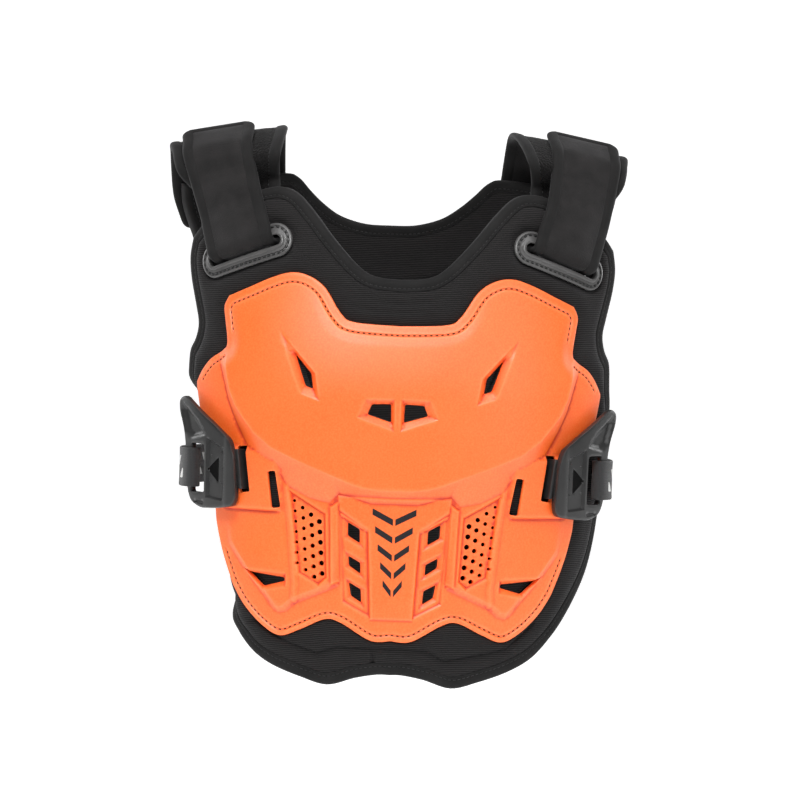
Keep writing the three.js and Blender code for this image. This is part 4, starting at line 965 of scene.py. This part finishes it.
BACK_CHANNELS = [
    [(-62, -95), (-30, -108), (0, -111), (30, -108), (62, -95)],
    [(-112, -150), (-60, -166), (0, -170), (60, -166), (112, -150)],
    [(-118, -214), (-60, -226), (0, -229), (60, -226), (118, -214)],
    [(-118, -278), (-60, -288), (0, -291), (60, -288), (118, -278)],
    [(-104, -342), (-54, -352), (0, -355), (54, -352), (104, -342)],
]


def swayed(places):
    below = smooth(-places[:, 2], SWAY_TURN_START, SWAY_TURN_START + SWAY_TURN_DROP)
    sway = SWAY_ABOVE + (SWAY_BELOW - SWAY_ABOVE) * below
    places[:, 0] += sway * np.maximum(0, places[:, 1] - SWAY_START)
    return places


def on_back(arc, z, w):
    arc, z, w = (np.asarray(v, dtype=float) for v in np.broadcast_arrays(arc, z, w))
    share = np.clip((-BACK_TURN_START - z) / BACK_TURN_DROP, 0, 1)
    full = np.radians(BACK_TURN_TOP + (BACK_TURN_BOTTOM - BACK_TURN_TOP) * smooth(share, 0, 1))
    return swayed(bent(arc, z, w, lambda length: full * (length / BACK_ARC) ** ROUNDNESS,
                       stand_at(z, BACK_PROFILE, BACK_STAND), 1))


back_outline = pattern_outline([BACK_TOP, BACK_SIDE, BACK_BOTTOM], BACK_ARC, BACK_DROP,
                               BACK_HEIGHT, 3.0)
back_panel = grown(back_outline, -PAD_INSET + 1.2)
back_channels = [spaced(spline(line, 60), step=3.0) for line in BACK_CHANNELS]


def back_relief(arc, z):
    points = np.stack([arc, z], axis=1)
    edge_in = -beyond(points, back_panel)
    relief = BACK_CROWN * smooth(edge_in, -1.5, BACK_SWELL)
    relief -= PAD_DIP * (1 - smooth(edge_in, 0, PAD_DIP_WIDE))
    for line in back_channels:
        away = off_line(points, line)
        relief -= (CHANNEL_DEPTH * np.clip(1 - away / BACK_CHANNEL_HALF, 0, 1) ** 1.2
                   + HOLLOW_DEPTH * np.exp(-(away / HOLLOW_WIDE) ** 2))
    return relief


back_pad = soft_pad(
    "back_foam_pad", back_panel, [],
    [beside(line, shift) for line in back_channels
     for shift in (-BACK_CHANNEL_HALF, 0, BACK_CHANNEL_HALF)],
    back_relief, lambda arc, z: -PAD_WALL - back_relief(arc, z) * BACK_INSIDE_SHARE, on_back,
    ribbed_knit, 4.5)
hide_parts("back_pad")
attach(back_pad, "root")
back_binding = tape_edge("back_stretch_binding", back_outline, 0, PAD_WALL, on_back, stretch_tape)
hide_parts("back_binding")
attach(back_binding, "root")
seam = spaced(shut(grown(back_outline, -SEAM_IN)), step=SEAM_STEP)
for face_name, w, up in (("outer", SEAM_RISE, 1), ("inner", -PAD_WALL - SEAM_RISE, -1)):
    seats, ups = face_seats(seam, lambda a, z: np.full(len(a), w), on_back)
    row = stitch_row(f"back_{face_name}_stitches", seats, ups * up, STITCH_LONG, STITCH_WIDE,
                     black_thread)
    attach(row, "root")


# Slot frames: a moulded black ring sewn to each front lobe, 83 mm long. A smooth lip stands round
# the strap's slot, and the stitches sit in a groove inside the outer rim.
FRAME_FACE, FRAME_WALL = 1.3, 3.3
FRAME_SECTION = [(0, 0), (0, 2.6), (0.25, 3.2), (0.9, 3.5), (1.9, 3.5), (2.6, 3.1), (3.0, 2.4),
                 (4.9, 2.3), (5.2, 1.6), (7.0, 1.6), (7.3, 2.3), (8.2, 2.2), (8.8, 1.7), (9, 0.9),
                 (9, 0)]
FRAME_TURNS, FRAME_SIDES, FRAME_SEAM, FRAME_SEAM_RISE = 20, 26, 6.1, 1.75

# Satin black plastic with a fine grain and slightly rubbed gloss
black_plastic, tree, shader = material("moulded_black", (0.03, 0.03, 0.03), 0.4)
place = own_place(tree)
cloud = noise(tree, place, 60.0, 4.0)
tree.links.new(ranged(tree, cloud, 0, 1, 0.28, 0.42), shader.inputs["Roughness"])
finished(tree, shader, blended(tree, cloud, (0.012, 0.012, 0.012), (0.026, 0.026, 0.026)),
         (noise(tree, place, 1400.0, 2.0), 0.15, 0.0003))

# The frames get a lighter grey copy of the buckles' plastic
lighter_black_plastic = black_plastic.copy()
lighter_black_plastic.name = "moulded_black_lighter"
for mixed in (n for n in lighter_black_plastic.node_tree.nodes if n.type == "MIX"):
    mixed.inputs[6].default_value = (0.045, 0.044, 0.044, 1)
    mixed.inputs[7].default_value = (0.085, 0.083, 0.082, 1)
for name, side in (("right", -1), ("left", 1)):
    rows = [on_chest(*slot_ring(grow, side, turns=FRAME_TURNS, sides=FRAME_SIDES).T,
                     FRAME_FACE + rise) for grow, rise in FRAME_SECTION]
    slot_frame = skin(f"{name}_moulded_slot_frame", np.concatenate(rows),
                      ring_faces(len(rows), len(rows[0])), lighter_black_plastic)
    bpy.ops.object.shade_smooth_by_angle(angle=math.radians(50))
    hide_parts(f"{name}_slot_frame")
    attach(slot_frame, "root")
    ring = slot_ring(FRAME_SEAM, side, turns=FRAME_TURNS, sides=FRAME_SIDES)
    seats, ups = face_seats(spaced(shut(ring), step=4.0),
                            lambda a, z: np.full(len(a), FRAME_FACE + FRAME_SEAM_RISE), on_chest)
    row = stitch_row(f"{name}_slot_frame_stitches", seats, ups, 2.7, 1.2, black_thread)
    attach(row, "root")


# Shoulder straps: each is a padded ribbon, sewn to the back pad. Its broad wing carries loop pile
# outside, and its narrow end comes out through the slot frame and lies back on the wing. Both
# have taped edges with a stitched line beside the tape.
STRAP_THICK, STRAP_HALF, WING_HALF, WING_LENGTH = 5, 29, 47, 58
SHOULDER_HALF, SHOULDER_SLOPE = 134, math.radians(10.5)
TAIL_LIFT, TAIL_SHIFT, TAIL_TRIM = 0.5, 7, 6
# The tail stands off the wing more and more towards its free end
TAIL_RISING = {11: 0, 10: 0.6, 9: 2, 8: 3.6}
STRAP_COLUMNS = np.array([-1, -0.34, 0.34, 1])
SHOULDER_RIDGE = [(0.6, -0.07, -7, 1), (0.14, -0.012, 0, 1), (-0.33, -0.12, 12, 0.97),
                  (-0.74, -0.42, 23, 0.91)]
LEG_INSIDE = PAD_PROUD - PAD_WALL - BINDING_PROUD - 0.3 - STRAP_THICK / 2
LEG_OUTSIDE = FRAME_FACE + FRAME_WALL + 0.6 + STRAP_THICK / 2
BACK_FACE = BINDING_PROUD + 0.9 + STRAP_THICK / 2
TAPE_WIDTH, TAIL_CORNER, WING_CORNER = 8.6, 12, 5
# Lines along the strap: how far in from its edge they run, and the lane that the stitches follow
STRAP_EDGE = np.array([0, 0.35, 1, 1.9, 3, 5, 7.2, 8.2, 8.9, 9.6, 11, 14.5])
STRAP_MIDDLE_FROM, STRAP_MIDDLE_LANES, STRAP_STEP, STITCH_LANE = 17, 7, 2.6, 8
PILE_STOPS, TAIL_SEAM_STARTS, WING_SEAM_STOPS, ROW_STEPS, CROSS_STEPS = 30, 12, 34, 6, 61
# Rows of the wing on the back pad: across, down and width; and in front, up and width
WING_BACK = [(SHOULDER_HALF - 6, 0.8, 0.9), (SHOULDER_HALF - 3, 0.4, 1),
             (SHOULDER_HALF - 1, 0.07, 1)]
WING_FRONT = [(0.84, WING_HALF * 0.83), (0.5, WING_HALF * 0.72), (0.2, STRAP_HALF * 0.95)]
# The turn through the slot: how far above it, how far out, and width
SLOT_TURN = [(4, LEG_INSIDE - 0.3, 0.98), (0.9, LEG_INSIDE * 0.82, 0.97),
             (0, LEG_INSIDE * 0.45, 0.97), (0, LEG_OUTSIDE * 0.2, 0.97),
             (0.9, LEG_OUTSIDE * 0.72, 0.97), (4, LEG_OUTSIDE + 0.3, 0.98)]
TAIL_SHARES, WING_STEPS, TAIL_STEPS = (0.2, 0.42, 0.64), 18, 10


def strap_on_chest(side, up, w, half):
    spots = np.stack([STRAP_COLUMNS * half, np.full(4, float(up))], axis=1)
    return on_chest(*on_frame(spots, side).T, w)


def strap_on_ridge(side, back, up, yaw, width):
    half, yaw = WING_HALF * width, math.radians(yaw)
    return swayed(np.stack([
        side * (SHOULDER_HALF + STRAP_COLUMNS * half * math.cos(yaw) * math.cos(SHOULDER_SLOPE)),
        back * WING_LENGTH + STRAP_COLUMNS * half * math.sin(yaw),
        up * WING_LENGTH - STRAP_COLUMNS * half * math.sin(SHOULDER_SLOPE)], axis=1))


def through(points, count):
    """A smooth curve through places in space, each stretch in proportion to its length."""
    points = np.asarray(points, dtype=float)
    ends = [2 * points[0] - points[1]], [2 * points[-1] - points[-2]]
    p = np.concatenate([ends[0], points, ends[1]])
    t = np.linspace(0, len(points) - 1, count)
    k = np.minimum(t.astype(int), len(points) - 2)
    s = (t - k)[:, None]
    a, b, c, d = (p[k + shift] for shift in range(4))
    gap = [np.maximum(np.sum((q - r) ** 2, axis=1) ** 0.25, 1e-4)[:, None]
           for q, r in ((b, a), (c, b), (d, c))]
    slope_b = ((b - a) / gap[0] - (c - a) / (gap[0] + gap[1]) + (c - b) / gap[1]) * gap[1]
    slope_c = ((c - b) / gap[1] - (d - b) / (gap[1] + gap[2]) + (d - c) / gap[2]) * gap[1]
    return ((2 * b - 2 * c + slope_b + slope_c) * s ** 3
            + (-3 * b + 3 * c - 2 * slope_b - slope_c) * s ** 2 + slope_b * s + b)


def smooth_rows(controls, steps):
    controls = np.array(controls)
    return np.stack([through(controls[:, c], steps + 1) for c in range(controls.shape[1])], axis=1)


def row_normals(rows):
    along = np.gradient(rows, axis=0)
    across = np.gradient(rows, axis=1)
    normals = np.cross(across, along)
    return normals / (np.linalg.norm(normals, axis=2)[..., None] + 1e-12)


def strap_rows(side):
    """The strap's middle surface, row by row, from the back pad to the tip of the tail."""
    wing = smooth_rows(
        [on_back(side * (arc + STRAP_COLUMNS * WING_HALF * wide),
                 -(BACK_DROP + down * WING_LENGTH), BACK_FACE) for arc, down, wide in WING_BACK]
        + [strap_on_ridge(side, *row) for row in SHOULDER_RIDGE]
        + [strap_on_chest(side, up * WING_LENGTH, LEG_INSIDE, half) for up, half in WING_FRONT],
        WING_STEPS)
    turn = [strap_on_chest(side, up, w, STRAP_HALF * wide) for up, w, wide in SLOT_TURN]
    normals = row_normals(wing)
    laid = [strap_on_chest(side, share * WING_LENGTH, LEG_OUTSIDE, STRAP_HALF)
            for share in TAIL_SHARES]
    for r, rising in TAIL_RISING.items():
        widest = np.linalg.norm(wing[r, -1] - wing[r, 0]) / 2
        at = (STRAP_COLUMNS * STRAP_HALF + TAIL_SHIFT) / widest
        spots, ups = (np.stack([np.interp(at, STRAP_COLUMNS, table[r, :, k]) for k in range(3)],
                               axis=1) for table in (wing, normals))
        ups /= np.linalg.norm(ups, axis=1)[:, None]
        laid.append(spots - ups * (STRAP_THICK + TAIL_LIFT + rising) * side)
    return wing, np.array(turn), smooth_rows(laid, TAIL_STEPS)


def strap_profile(edge_in, end_in):
    """Half thickness: a round taped edge, a sunk stitch line and a crowned middle."""
    inward = np.minimum(edge_in, end_in)
    full = STRAP_THICK / 2
    round_off = np.sqrt(np.clip(1 - (1 - np.clip(inward / 2.4, 0, 1)) ** 2, 0, 1))
    relief = 0.9 * np.sqrt(np.clip(1 - ((inward - 4.2) / 4.4) ** 2, 0, 1)) - 0.45
    relief -= 0.35 * np.clip(1 - np.abs(inward - 8.9) / 1.1, 0, 1)
    relief += 0.8 * smooth(inward, 9.2, 20) * smooth(edge_in, 9.2, 20)
    return full * 0.94 * round_off + relief * smooth(inward, 0.8, 3)


brushed, tree, shader = material("brushed_loop_fabric", (0.02, 0.02, 0.021), 0.95)
place = cloth_place(tree)
colour = blended(tree, noise(tree, place, 70.0, 5.0), (0.006, 0.006, 0.006), (0.026, 0.024, 0.024))
finished(tree, shader, colour, (noise(tree, place, 900.0, 4.0), 0.6, 0.0007), Sheen_Weight=0.2,
         Sheen_Roughness=0.45, Sheen_Tint=(0.6, 0.6, 0.62, 1), Specular_IOR_Level=0.15)

loop_pile, tree, shader = material("loop_pile", (0.025, 0.025, 0.027), 0.98)
place = cloth_place(tree)
tufts = node(tree, "ShaderNodeTexVoronoi", Vector=place, Scale=750.0)
colour = blended(tree, noise(tree, place, 420.0, 5.0), (0.002, 0.002, 0.002),
                 (0.012, 0.011, 0.011))
finished(tree, shader, colour, (tufts.outputs["Distance"], 0.8, 0.0012), Sheen_Weight=0.08,
         Specular_IOR_Level=0.1)


def slab_faces(rows, lanes):
    """Faces of a ribbon in two layers of rows and lanes: each layer, then the rim between."""
    count, faces = rows * lanes, []
    for layer in (0, 1):
        for first in (layer * count + r * lanes + c for r in range(rows - 1)
                      for c in range(lanes - 1)):
            quad = (first, first + lanes, first + lanes + 1, first + 1)
            faces.append(quad if layer == 0 else quad[::-1])
    rim = ([c for c in range(lanes - 1)] + [r * lanes + lanes - 1 for r in range(rows - 1)]
           + [(rows - 1) * lanes + c for c in range(lanes - 1, 0, -1)]
           + [r * lanes for r in range(rows - 1, 0, -1)])
    return faces + [(v, ahead, count + ahead, count + v)
                    for v, ahead in zip(rim, rim[1:] + rim[:1])]


def both_layers(grid, lift):
    """Vertices of a ribbon's two layers, to both sides of its middle surface."""
    return np.concatenate([(grid + lift).reshape(-1, 3), (grid - lift).reshape(-1, 3)])


for name, side in (("right", -1), ("left", 1)):
    wing, turn, tail = strap_rows(side)
    control = np.concatenate([wing, turn, tail])
    fine = smooth_rows(control, (len(control) - 1) * ROW_STEPS)
    middle = fine.mean(axis=1)
    run = np.concatenate([[0], np.cumsum(np.linalg.norm(np.diff(middle, axis=0), axis=1))])
    wing_end = run[(len(wing) + 2) * ROW_STEPS]
    length = run[-1] - TAIL_TRIM
    stations = np.concatenate([
        STRAP_EDGE, np.arange(STRAP_MIDDLE_FROM, length - STRAP_MIDDLE_FROM, STRAP_STEP),
        length - STRAP_EDGE[::-1]])
    rows = np.stack([np.stack([np.interp(stations, run, fine[:, c, k]) for k in range(3)], axis=1)
                     for c in range(4)], axis=1)
    half = np.linalg.norm(rows[:, 3] - rows[:, 0], axis=1) / 2
    end_in = np.minimum(stations, length - stations)
    corner = np.where(stations > length / 2, TAIL_CORNER, WING_CORNER)
    narrowed = rounding(end_in, corner)
    lanes = 2 * len(STRAP_EDGE) + STRAP_MIDDLE_LANES
    grid = np.zeros((len(stations), lanes, 3))
    edge_in = np.zeros((len(stations), lanes))
    at = np.interp(np.linspace(0, 3, CROSS_STEPS), [0, 1, 2, 3], STRAP_COLUMNS)
    for r, wide in enumerate(half - narrowed):
        inmost = wide - STRAP_MIDDLE_FROM
        reach = np.concatenate([-wide + STRAP_EDGE,
                                np.linspace(-inmost, inmost, STRAP_MIDDLE_LANES),
                                (wide - STRAP_EDGE)[::-1]])
        line = through(rows[r], CROSS_STEPS)
        grid[r] = np.stack([np.interp(reach / half[r], at, line[:, k]) for k in range(3)], axis=1)
        edge_in[r] = wide - np.abs(reach)
    normals = row_normals(grid)
    lift = normals * strap_profile(edge_in, end_in[:, None])[..., None]
    faces = slab_faces(len(stations), lanes)
    strap = skin(f"{name}_padded_shoulder_strap", both_layers(grid, lift), faces,
                 brushed, stretch_tape, loop_pile)
    inward = np.minimum(np.minimum(edge_in[:-1, :-1], edge_in[:-1, 1:]),
                        np.minimum(end_in[:-1], end_in[1:])[:, None])
    pile = np.broadcast_to(stations[:-1, None] < wing_end - PILE_STOPS, inward.shape)
    skins = np.ones(len(faces), dtype=np.int32)
    for layer, outer in ((0, side < 0), (1, side > 0)):
        skins[layer * inward.size:(layer + 1) * inward.size] = np.where(
            inward < TAPE_WIDTH, 1, np.where(pile & outer, 2, 0)).ravel()
    strap.data.polygons.foreach_set("material_index", skins)
    spread = np.stack([half[:, None] - edge_in, np.broadcast_to(stations[:, None], edge_in.shape)],
                      axis=2).reshape(-1, 2)
    lay_pattern(strap, np.concatenate([spread, spread + [200, 0]]))
    bpy.ops.object.mode_set(mode="EDIT")
    bpy.ops.mesh.select_all(action="SELECT")
    bpy.ops.mesh.remove_doubles(threshold=0.00001)
    bpy.ops.object.mode_set(mode="OBJECT")
    outwards(strap)
    bpy.ops.object.shade_smooth()
    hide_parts(f"{name}_shoulder_strap")
    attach(strap, "root")
    seam_rows = np.arange(np.searchsorted(stations, STRAP_EDGE[STITCH_LANE]),
                          np.searchsorted(stations, length - 8.0))
    for lane, lane_name in ((STITCH_LANE, "outer"), (lanes - 1 - STITCH_LANE, "inner")):
        for part, keep in (("tail", stations[seam_rows] > wing_end + TAIL_SEAM_STARTS),
                           ("wing", stations[seam_rows] < wing_end - WING_SEAM_STOPS)):
            line = (grid - side * lift)[seam_rows[keep], lane]
            both = spaced(np.concatenate([line, -side * normals[seam_rows[keep], lane]], axis=1),
                          step=3.4)
            row = stitch_row(f"{name}_{part}_{lane_name}_stitches", both[:, :3], both[:, 3:], 2.3,
                             0.6, black_thread)
            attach(row, "root")


# Hook buckles: a moulded black frame with a scooped thumb wing and a window for the elastic. Its
# hook goes through the outer strap slot and turns outwards behind the plate.
BUCKLE_FACE, BUCKLE_WALL, BUCKLE_LENGTH, BUCKLE_TALL = 8.8, 5, 60, 84
BUCKLE_ACROSS, BUCKLE_DROP, HOOK_ACROSS = 117.61, 256, 118.36
BUCKLE_OUTLINE = [(0.04, 0.12), (0.1, 0.26), (0.36, 0.4), (0.62, 0.52), (0.88, 0.64), (1, 0.6),
                  (1, 0.5), (0.9, 0.34), (0.86, 0.2), (0.85, -0.04), (0.81, -0.24), (0.74, -0.33),
                  (0.56, -0.38), (0.3, -0.37), (0.04, -0.34), (0, -0.26)]
WINDOW = [(0.5, 0.205), (0.73, 0.205), (0.73, -0.235), (0.5, -0.235)]
THUMB_SCOOP = [(0.46, 0.28), (0.6, 0.42), (0.92, 0.59), (0.96, 0.5), (0.86, 0.3), (0.74, 0.24)]
LOWER_SCOOP = [(0.48, -0.31), (0.66, -0.31), (0.72, -0.28), (0.66, -0.345), (0.5, -0.35)]
FIELD = [(0.19, 0.19), (0.46, 0.27), (0.46, -0.28), (0.19, -0.3)]
ARROW = [(0.46, -0.02), (0.28, 0.1), (0.28, -0.14)]
RIVETS = [(0.4, 0.11), (0.24, 0.14), (0.42, -0.13), (0.24, -0.14), (0.23, 0.0)]
# Hollows of the face: outline, depth, slope of the wall, and slope that its crease follows
HOLLOWS = [(THUMB_SCOOP, 3.4, 4.2, 4.2), (LOWER_SCOOP, 2.0, 2.0, 1.2), (FIELD, 2.2, 1.6, 1.6),
           (ARROW, 0.8, 0.8, 0.8)]
BAR_RISE, RIVET_RISE, RIVET_WIDE, BUCKLE_ROUND, BUCKLE_UNDER = 1.2, 0.7, 0.9, 1.1, 0.8
# Section of the hook through the plate's slot: outwards from its middle, and off the chest
HOOK_SECTION = [(-1.5, -4.2), (10.5, -4.2), (10.5, -1.2), (1.5, -1.2), (1.5, 10.4), (-1.5, 10.4)]
HOOK_TALL = 30


def on_buckle(corners):
    corners = np.array(corners, dtype=float)
    return corners * [BUCKLE_LENGTH, BUCKLE_TALL] + [BUCKLE_ACROSS, -BUCKLE_DROP]


def buckle_face(points):
    face = np.full(len(points), float(BUCKLE_FACE + BUCKLE_WALL))
    across = (points[:, 0] - BUCKLE_ACROSS) / BUCKLE_LENGTH
    face += BAR_RISE * (1 - smooth(across, 0.12, 0.2))
    for table, depth, slope, _ in HOLLOWS:
        face -= depth * dented(points, on_buckle(table), slope)
    for rivet in on_buckle(RIVETS):
        away = ((points - rivet) ** 2).sum(axis=1)
        face += RIVET_RISE * np.sqrt(np.clip(1 - away / RIVET_WIDE ** 2, 0, 1))
    return face


# Near-black plastic on the arrow's faces: painted shade in the arrow's shallow recess
arrow_painted_shade, tree, shader = material("arrow_painted_shade", (0.003, 0.003, 0.003), 0.8)
finished(tree, shader, Specular_IOR_Level=0.1)
for name, side in (("right", -1), ("left", 1)):
    outline = closed_loop(on_buckle(BUCKLE_OUTLINE), 1.3, soften=3.2)
    outline = outline if loop_area(outline) > 0 else outline[::-1]
    window = closed_loop(on_buckle(WINDOW), 1.3, soften=1.6)
    lines = []
    for table, _, _, slope in HOLLOWS:
        ring = closed_loop(on_buckle(table), 1.1)
        lines += [shut(ring), shut(grown(ring, -slope))]
    ring = np.linspace(0, 2 * math.pi, 11)
    lines += [rivet + np.stack([np.cos(ring), np.sin(ring)], axis=1) * radius
              for rivet in on_buckle(RIVETS) for radius in (0.55, RIVET_WIDE)]
    buckle = cut_blank(f"{name}_hook_buckle", outline, [window], lines, step=1.5, rims=(0.45, 1.1))
    thicken(buckle)
    flat = corners_of(buckle)
    rim = np.minimum(np.abs(beyond(flat[:, :2], outline)), np.abs(beyond(flat[:, :2], window)))
    dip = rounding(rim, BUCKLE_ROUND)
    w = np.where(flat[:, 2] > -0.5, buckle_face(flat[:, :2]) - dip,
                 BUCKLE_FACE + dip * BUCKLE_UNDER)
    shape_to(buckle, on_chest(side * flat[:, 0], flat[:, 1], w))
    lean = math.tan(STRAP_SLOT_LEAN)
    verts = [on_chest(side * (HOOK_ACROSS + a + up * lean), -BUCKLE_DROP + up, w)[0]
             for up in (-HOOK_TALL / 2, 0, HOOK_TALL / 2) for a, w in HOOK_SECTION]
    sides = len(HOOK_SECTION)
    faces = [tuple(range(sides)), tuple(range(3 * sides - 1, 2 * sides - 1, -1))]
    for level in (0, sides):
        faces += [(level + k, level + (k + 1) % sides, level + sides + (k + 1) % sides,
                   level + sides + k) for k in range(sides)]
    hook = skin(f"{name}_hook", verts, faces, black_plastic)
    ease = hook.modifiers.new("ease", "BEVEL")
    ease.width, ease.segments = 0.0006, 3
    bpy.ops.object.modifier_apply(modifier="ease")
    buckle.data.materials.append(black_plastic)
    buckle.data.materials.append(arrow_painted_shade)
    centres = np.array([flat[list(face.vertices), :2].mean(axis=0)
                        for face in buckle.data.polygons])
    # The faces inside the arrow take the painted shade
    arrow_shade_faces = beyond(centres, on_buckle(ARROW)) < -0.2
    buckle.data.polygons.foreach_set("material_index", arrow_shade_faces.astype(np.int32))
    take(buckle)
    hook.select_set(True)
    bpy.ops.object.join()
    take(buckle)
    bpy.ops.object.shade_smooth_by_angle(angle=math.radians(42))
    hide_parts(f"{name}_buckle")
    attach(buckle, "root")


# Elastic side straps: 30 mm woven webbing, from inside the buckle's window round its outer bar
# and back along the flank to the back pad, where it is sewn down. White dashes are woven in.
WEB_WIDTH, WEB_THICK, WEB_OVERLAP, WEB_CLEARANCE, WEB_LEAVE, WEB_BOW = 30, 2, 38, 1.3, 8, -6
WINDOW_RIGHT, BUCKLE_RIM, BACK_EDGE_SHARE, WEB_BELOW, WEB_STEP = 0.73, 0.87, 0.852, 1.26, 1.5
# Lines along the webbing, and its half thickness there: a selvedge, a rib and a sunk middle
WEB_LANES = np.array([-15, -14.7, -14, -13, -11.5, -7.5, 0, 7.5, 11.5, 13, 14, 14.7, 15])
WEB_FORM = WEB_THICK / 2 * np.array([0.25, 0.75, 1, 1, 0.86, 0.84, 0.84, 0.84, 0.86, 1, 1, 0.75,
                                     0.25])
DASH_SHARE, DASH_REACH, DASH_GAP, DASHES_FROM = 0.36, 0.0085, 0.0012, 0.031
elastic, tree, shader = material("woven_elastic", (0.02, 0.02, 0.021), 0.85)
place = cloth_place(tree)
rib = node(tree, "ShaderNodeTexWave", Vector=place, Scale=WAVES_A_METRE / 0.0012)
rib.bands_direction = "X"
pick = node(tree, "ShaderNodeTexWave", Vector=place, Scale=WAVES_A_METRE / 0.0009)
pick.bands_direction = "Y"
weave = reckon(tree, "MULTIPLY_ADD", rib.outputs["Fac"], 0.7, pick.outputs["Fac"])
axes = node(tree, "ShaderNodeSeparateXYZ", Vector=place)
slanted = reckon(tree, "MULTIPLY_ADD", axes.outputs["X"], 45.0,
                 reckon(tree, "MULTIPLY", axes.outputs["Y"], 75.0))
mask = reckon(tree, "LESS_THAN", reckon(tree, "FRACT", slanted), DASH_SHARE)
off_middle = reckon(tree, "ABSOLUTE", axes.outputs["X"])
for operation, value, limit in (("LESS_THAN", off_middle, DASH_REACH),
                                ("GREATER_THAN", off_middle, DASH_GAP),
                                ("GREATER_THAN", axes.outputs["Y"], DASHES_FROM)):
    mask = reckon(tree, "MULTIPLY", mask, reckon(tree, operation, value, limit))
finished(tree, shader, blended(tree, mask, (0.018, 0.018, 0.019), (0.62, 0.62, 0.61)),
         (weave, 0.5, 0.0005), Sheen_Weight=0.2)

for name, side in (("right", -1), ("left", 1)):
    window, rim = (BUCKLE_ACROSS + share * BUCKLE_LENGTH for share in (WINDOW_RIGHT, BUCKLE_RIM))
    clear = WEB_THICK / 2 + WEB_CLEARANCE
    below, above = BUCKLE_FACE - clear, BUCKLE_FACE + BUCKLE_WALL + clear
    drop = BUCKLE_DROP + WEB_BELOW
    sewn = BINDING_PROUD + 0.9 + WEB_THICK / 2
    edge = BACK_EDGE_SHARE * BACK_ARC
    leaving = on_chest(side * (rim + 2 * WEB_LEAVE), -drop, below + clear / 2)[0]
    landing = on_back(side * edge, [-drop], sewn)[0]
    path = [on_chest(side * arc, -drop, w)[0] for arc, w in (
        (rim + WEB_LEAVE / 2, below - clear / 2), (rim, below), (window, below),
        (window - clear, BUCKLE_FACE), (window - clear, BUCKLE_FACE + BUCKLE_WALL), (window, above),
        (rim, above))]
    path += [leaving, (leaving + landing) / 2 + [side * WEB_BOW, 0, 0], landing]
    path += [on_back(side * (edge - reach), [-drop], sewn)[0]
             for reach in (WEB_OVERLAP / 2, WEB_OVERLAP)]
    line = spaced(through(path, 900), step=WEB_STEP)
    along = np.gradient(line, axis=0)
    along /= np.linalg.norm(along, axis=1)[:, None]
    out = np.cross(along, [0, 0, 1.0])
    out /= np.linalg.norm(out, axis=1)[:, None]
    grid = line[:, None] + WEB_LANES[None, :, None] * np.array([0, 0, 1.0])
    shape = grid.shape[:2]
    web = skin(f"{name}_elastic_side_strap", both_layers(grid, out[:, None] * WEB_FORM[:, None]),
               slab_faces(*shape), elastic)
    spread = np.stack([np.broadcast_to(WEB_LANES, shape),
                       np.broadcast_to(np.arange(len(line))[:, None] * WEB_STEP, shape)],
                      axis=2).reshape(-1, 2)
    lay_pattern(web, np.concatenate([spread, spread]))
    bpy.ops.object.shade_smooth_by_angle(angle=math.radians(60))
    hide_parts(f"{name}_side_strap")
    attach(web, "root")


# Print on the middle of the plate: a plain stack of narrowing chevrons in dark grey ink
PRINT_TOP, PRINT_STEP, PRINT_HALF, PRINT_NARROWS = -281, 13.5, 16.4, 2.3
PRINT_RISE, PRINT_THICK, PRINT_GAP, PRINT_COUNT = 8, 4.8, 0.9, 5
PRINT_PROUD, PRINT_SUNK = 0.14, 0.3
PRINT = []
for k in range(PRINT_COUNT):
    top, half = PRINT_TOP - k * PRINT_STEP, PRINT_HALF - k * PRINT_NARROWS
    PRINT.append([(PRINT_GAP, top - PRINT_RISE), (half, top), (half, top - PRINT_THICK),
                  (PRINT_GAP, top - PRINT_RISE - PRINT_THICK)])
ink, tree, shader = material("dark_grey_ink", (0.012, 0.011, 0.013), 0.6)
finished(tree, shader, None, (noise(tree, own_place(tree), 1500.0, 2.0), 0.16, 0.0004),
         Specular_IOR_Level=0.25)
for k, corners in enumerate(PRINT):
    for hand, loop in zip(("left", "right"), both_sides(corners)):
        loop = closed_loop(loop, 1.4)
        loop = loop if loop_area(loop) > 0 else loop[::-1]
        mark = cut_blank(f"{hand}_ink_chevron_{k}", loop, step=1.5, rims=())
        thicken(mark)
        flat = corners_of(mark)
        off = np.where(flat[:, 2] > -0.5, PRINT_PROUD, -PRINT_SUNK)
        w = plate_face(flat[:, 0], flat[:, 1]) + off
        shape_to(mark, on_chest(flat[:, 0], flat[:, 1], w))
        mark.data.materials.append(ink)
        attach(mark, "root")
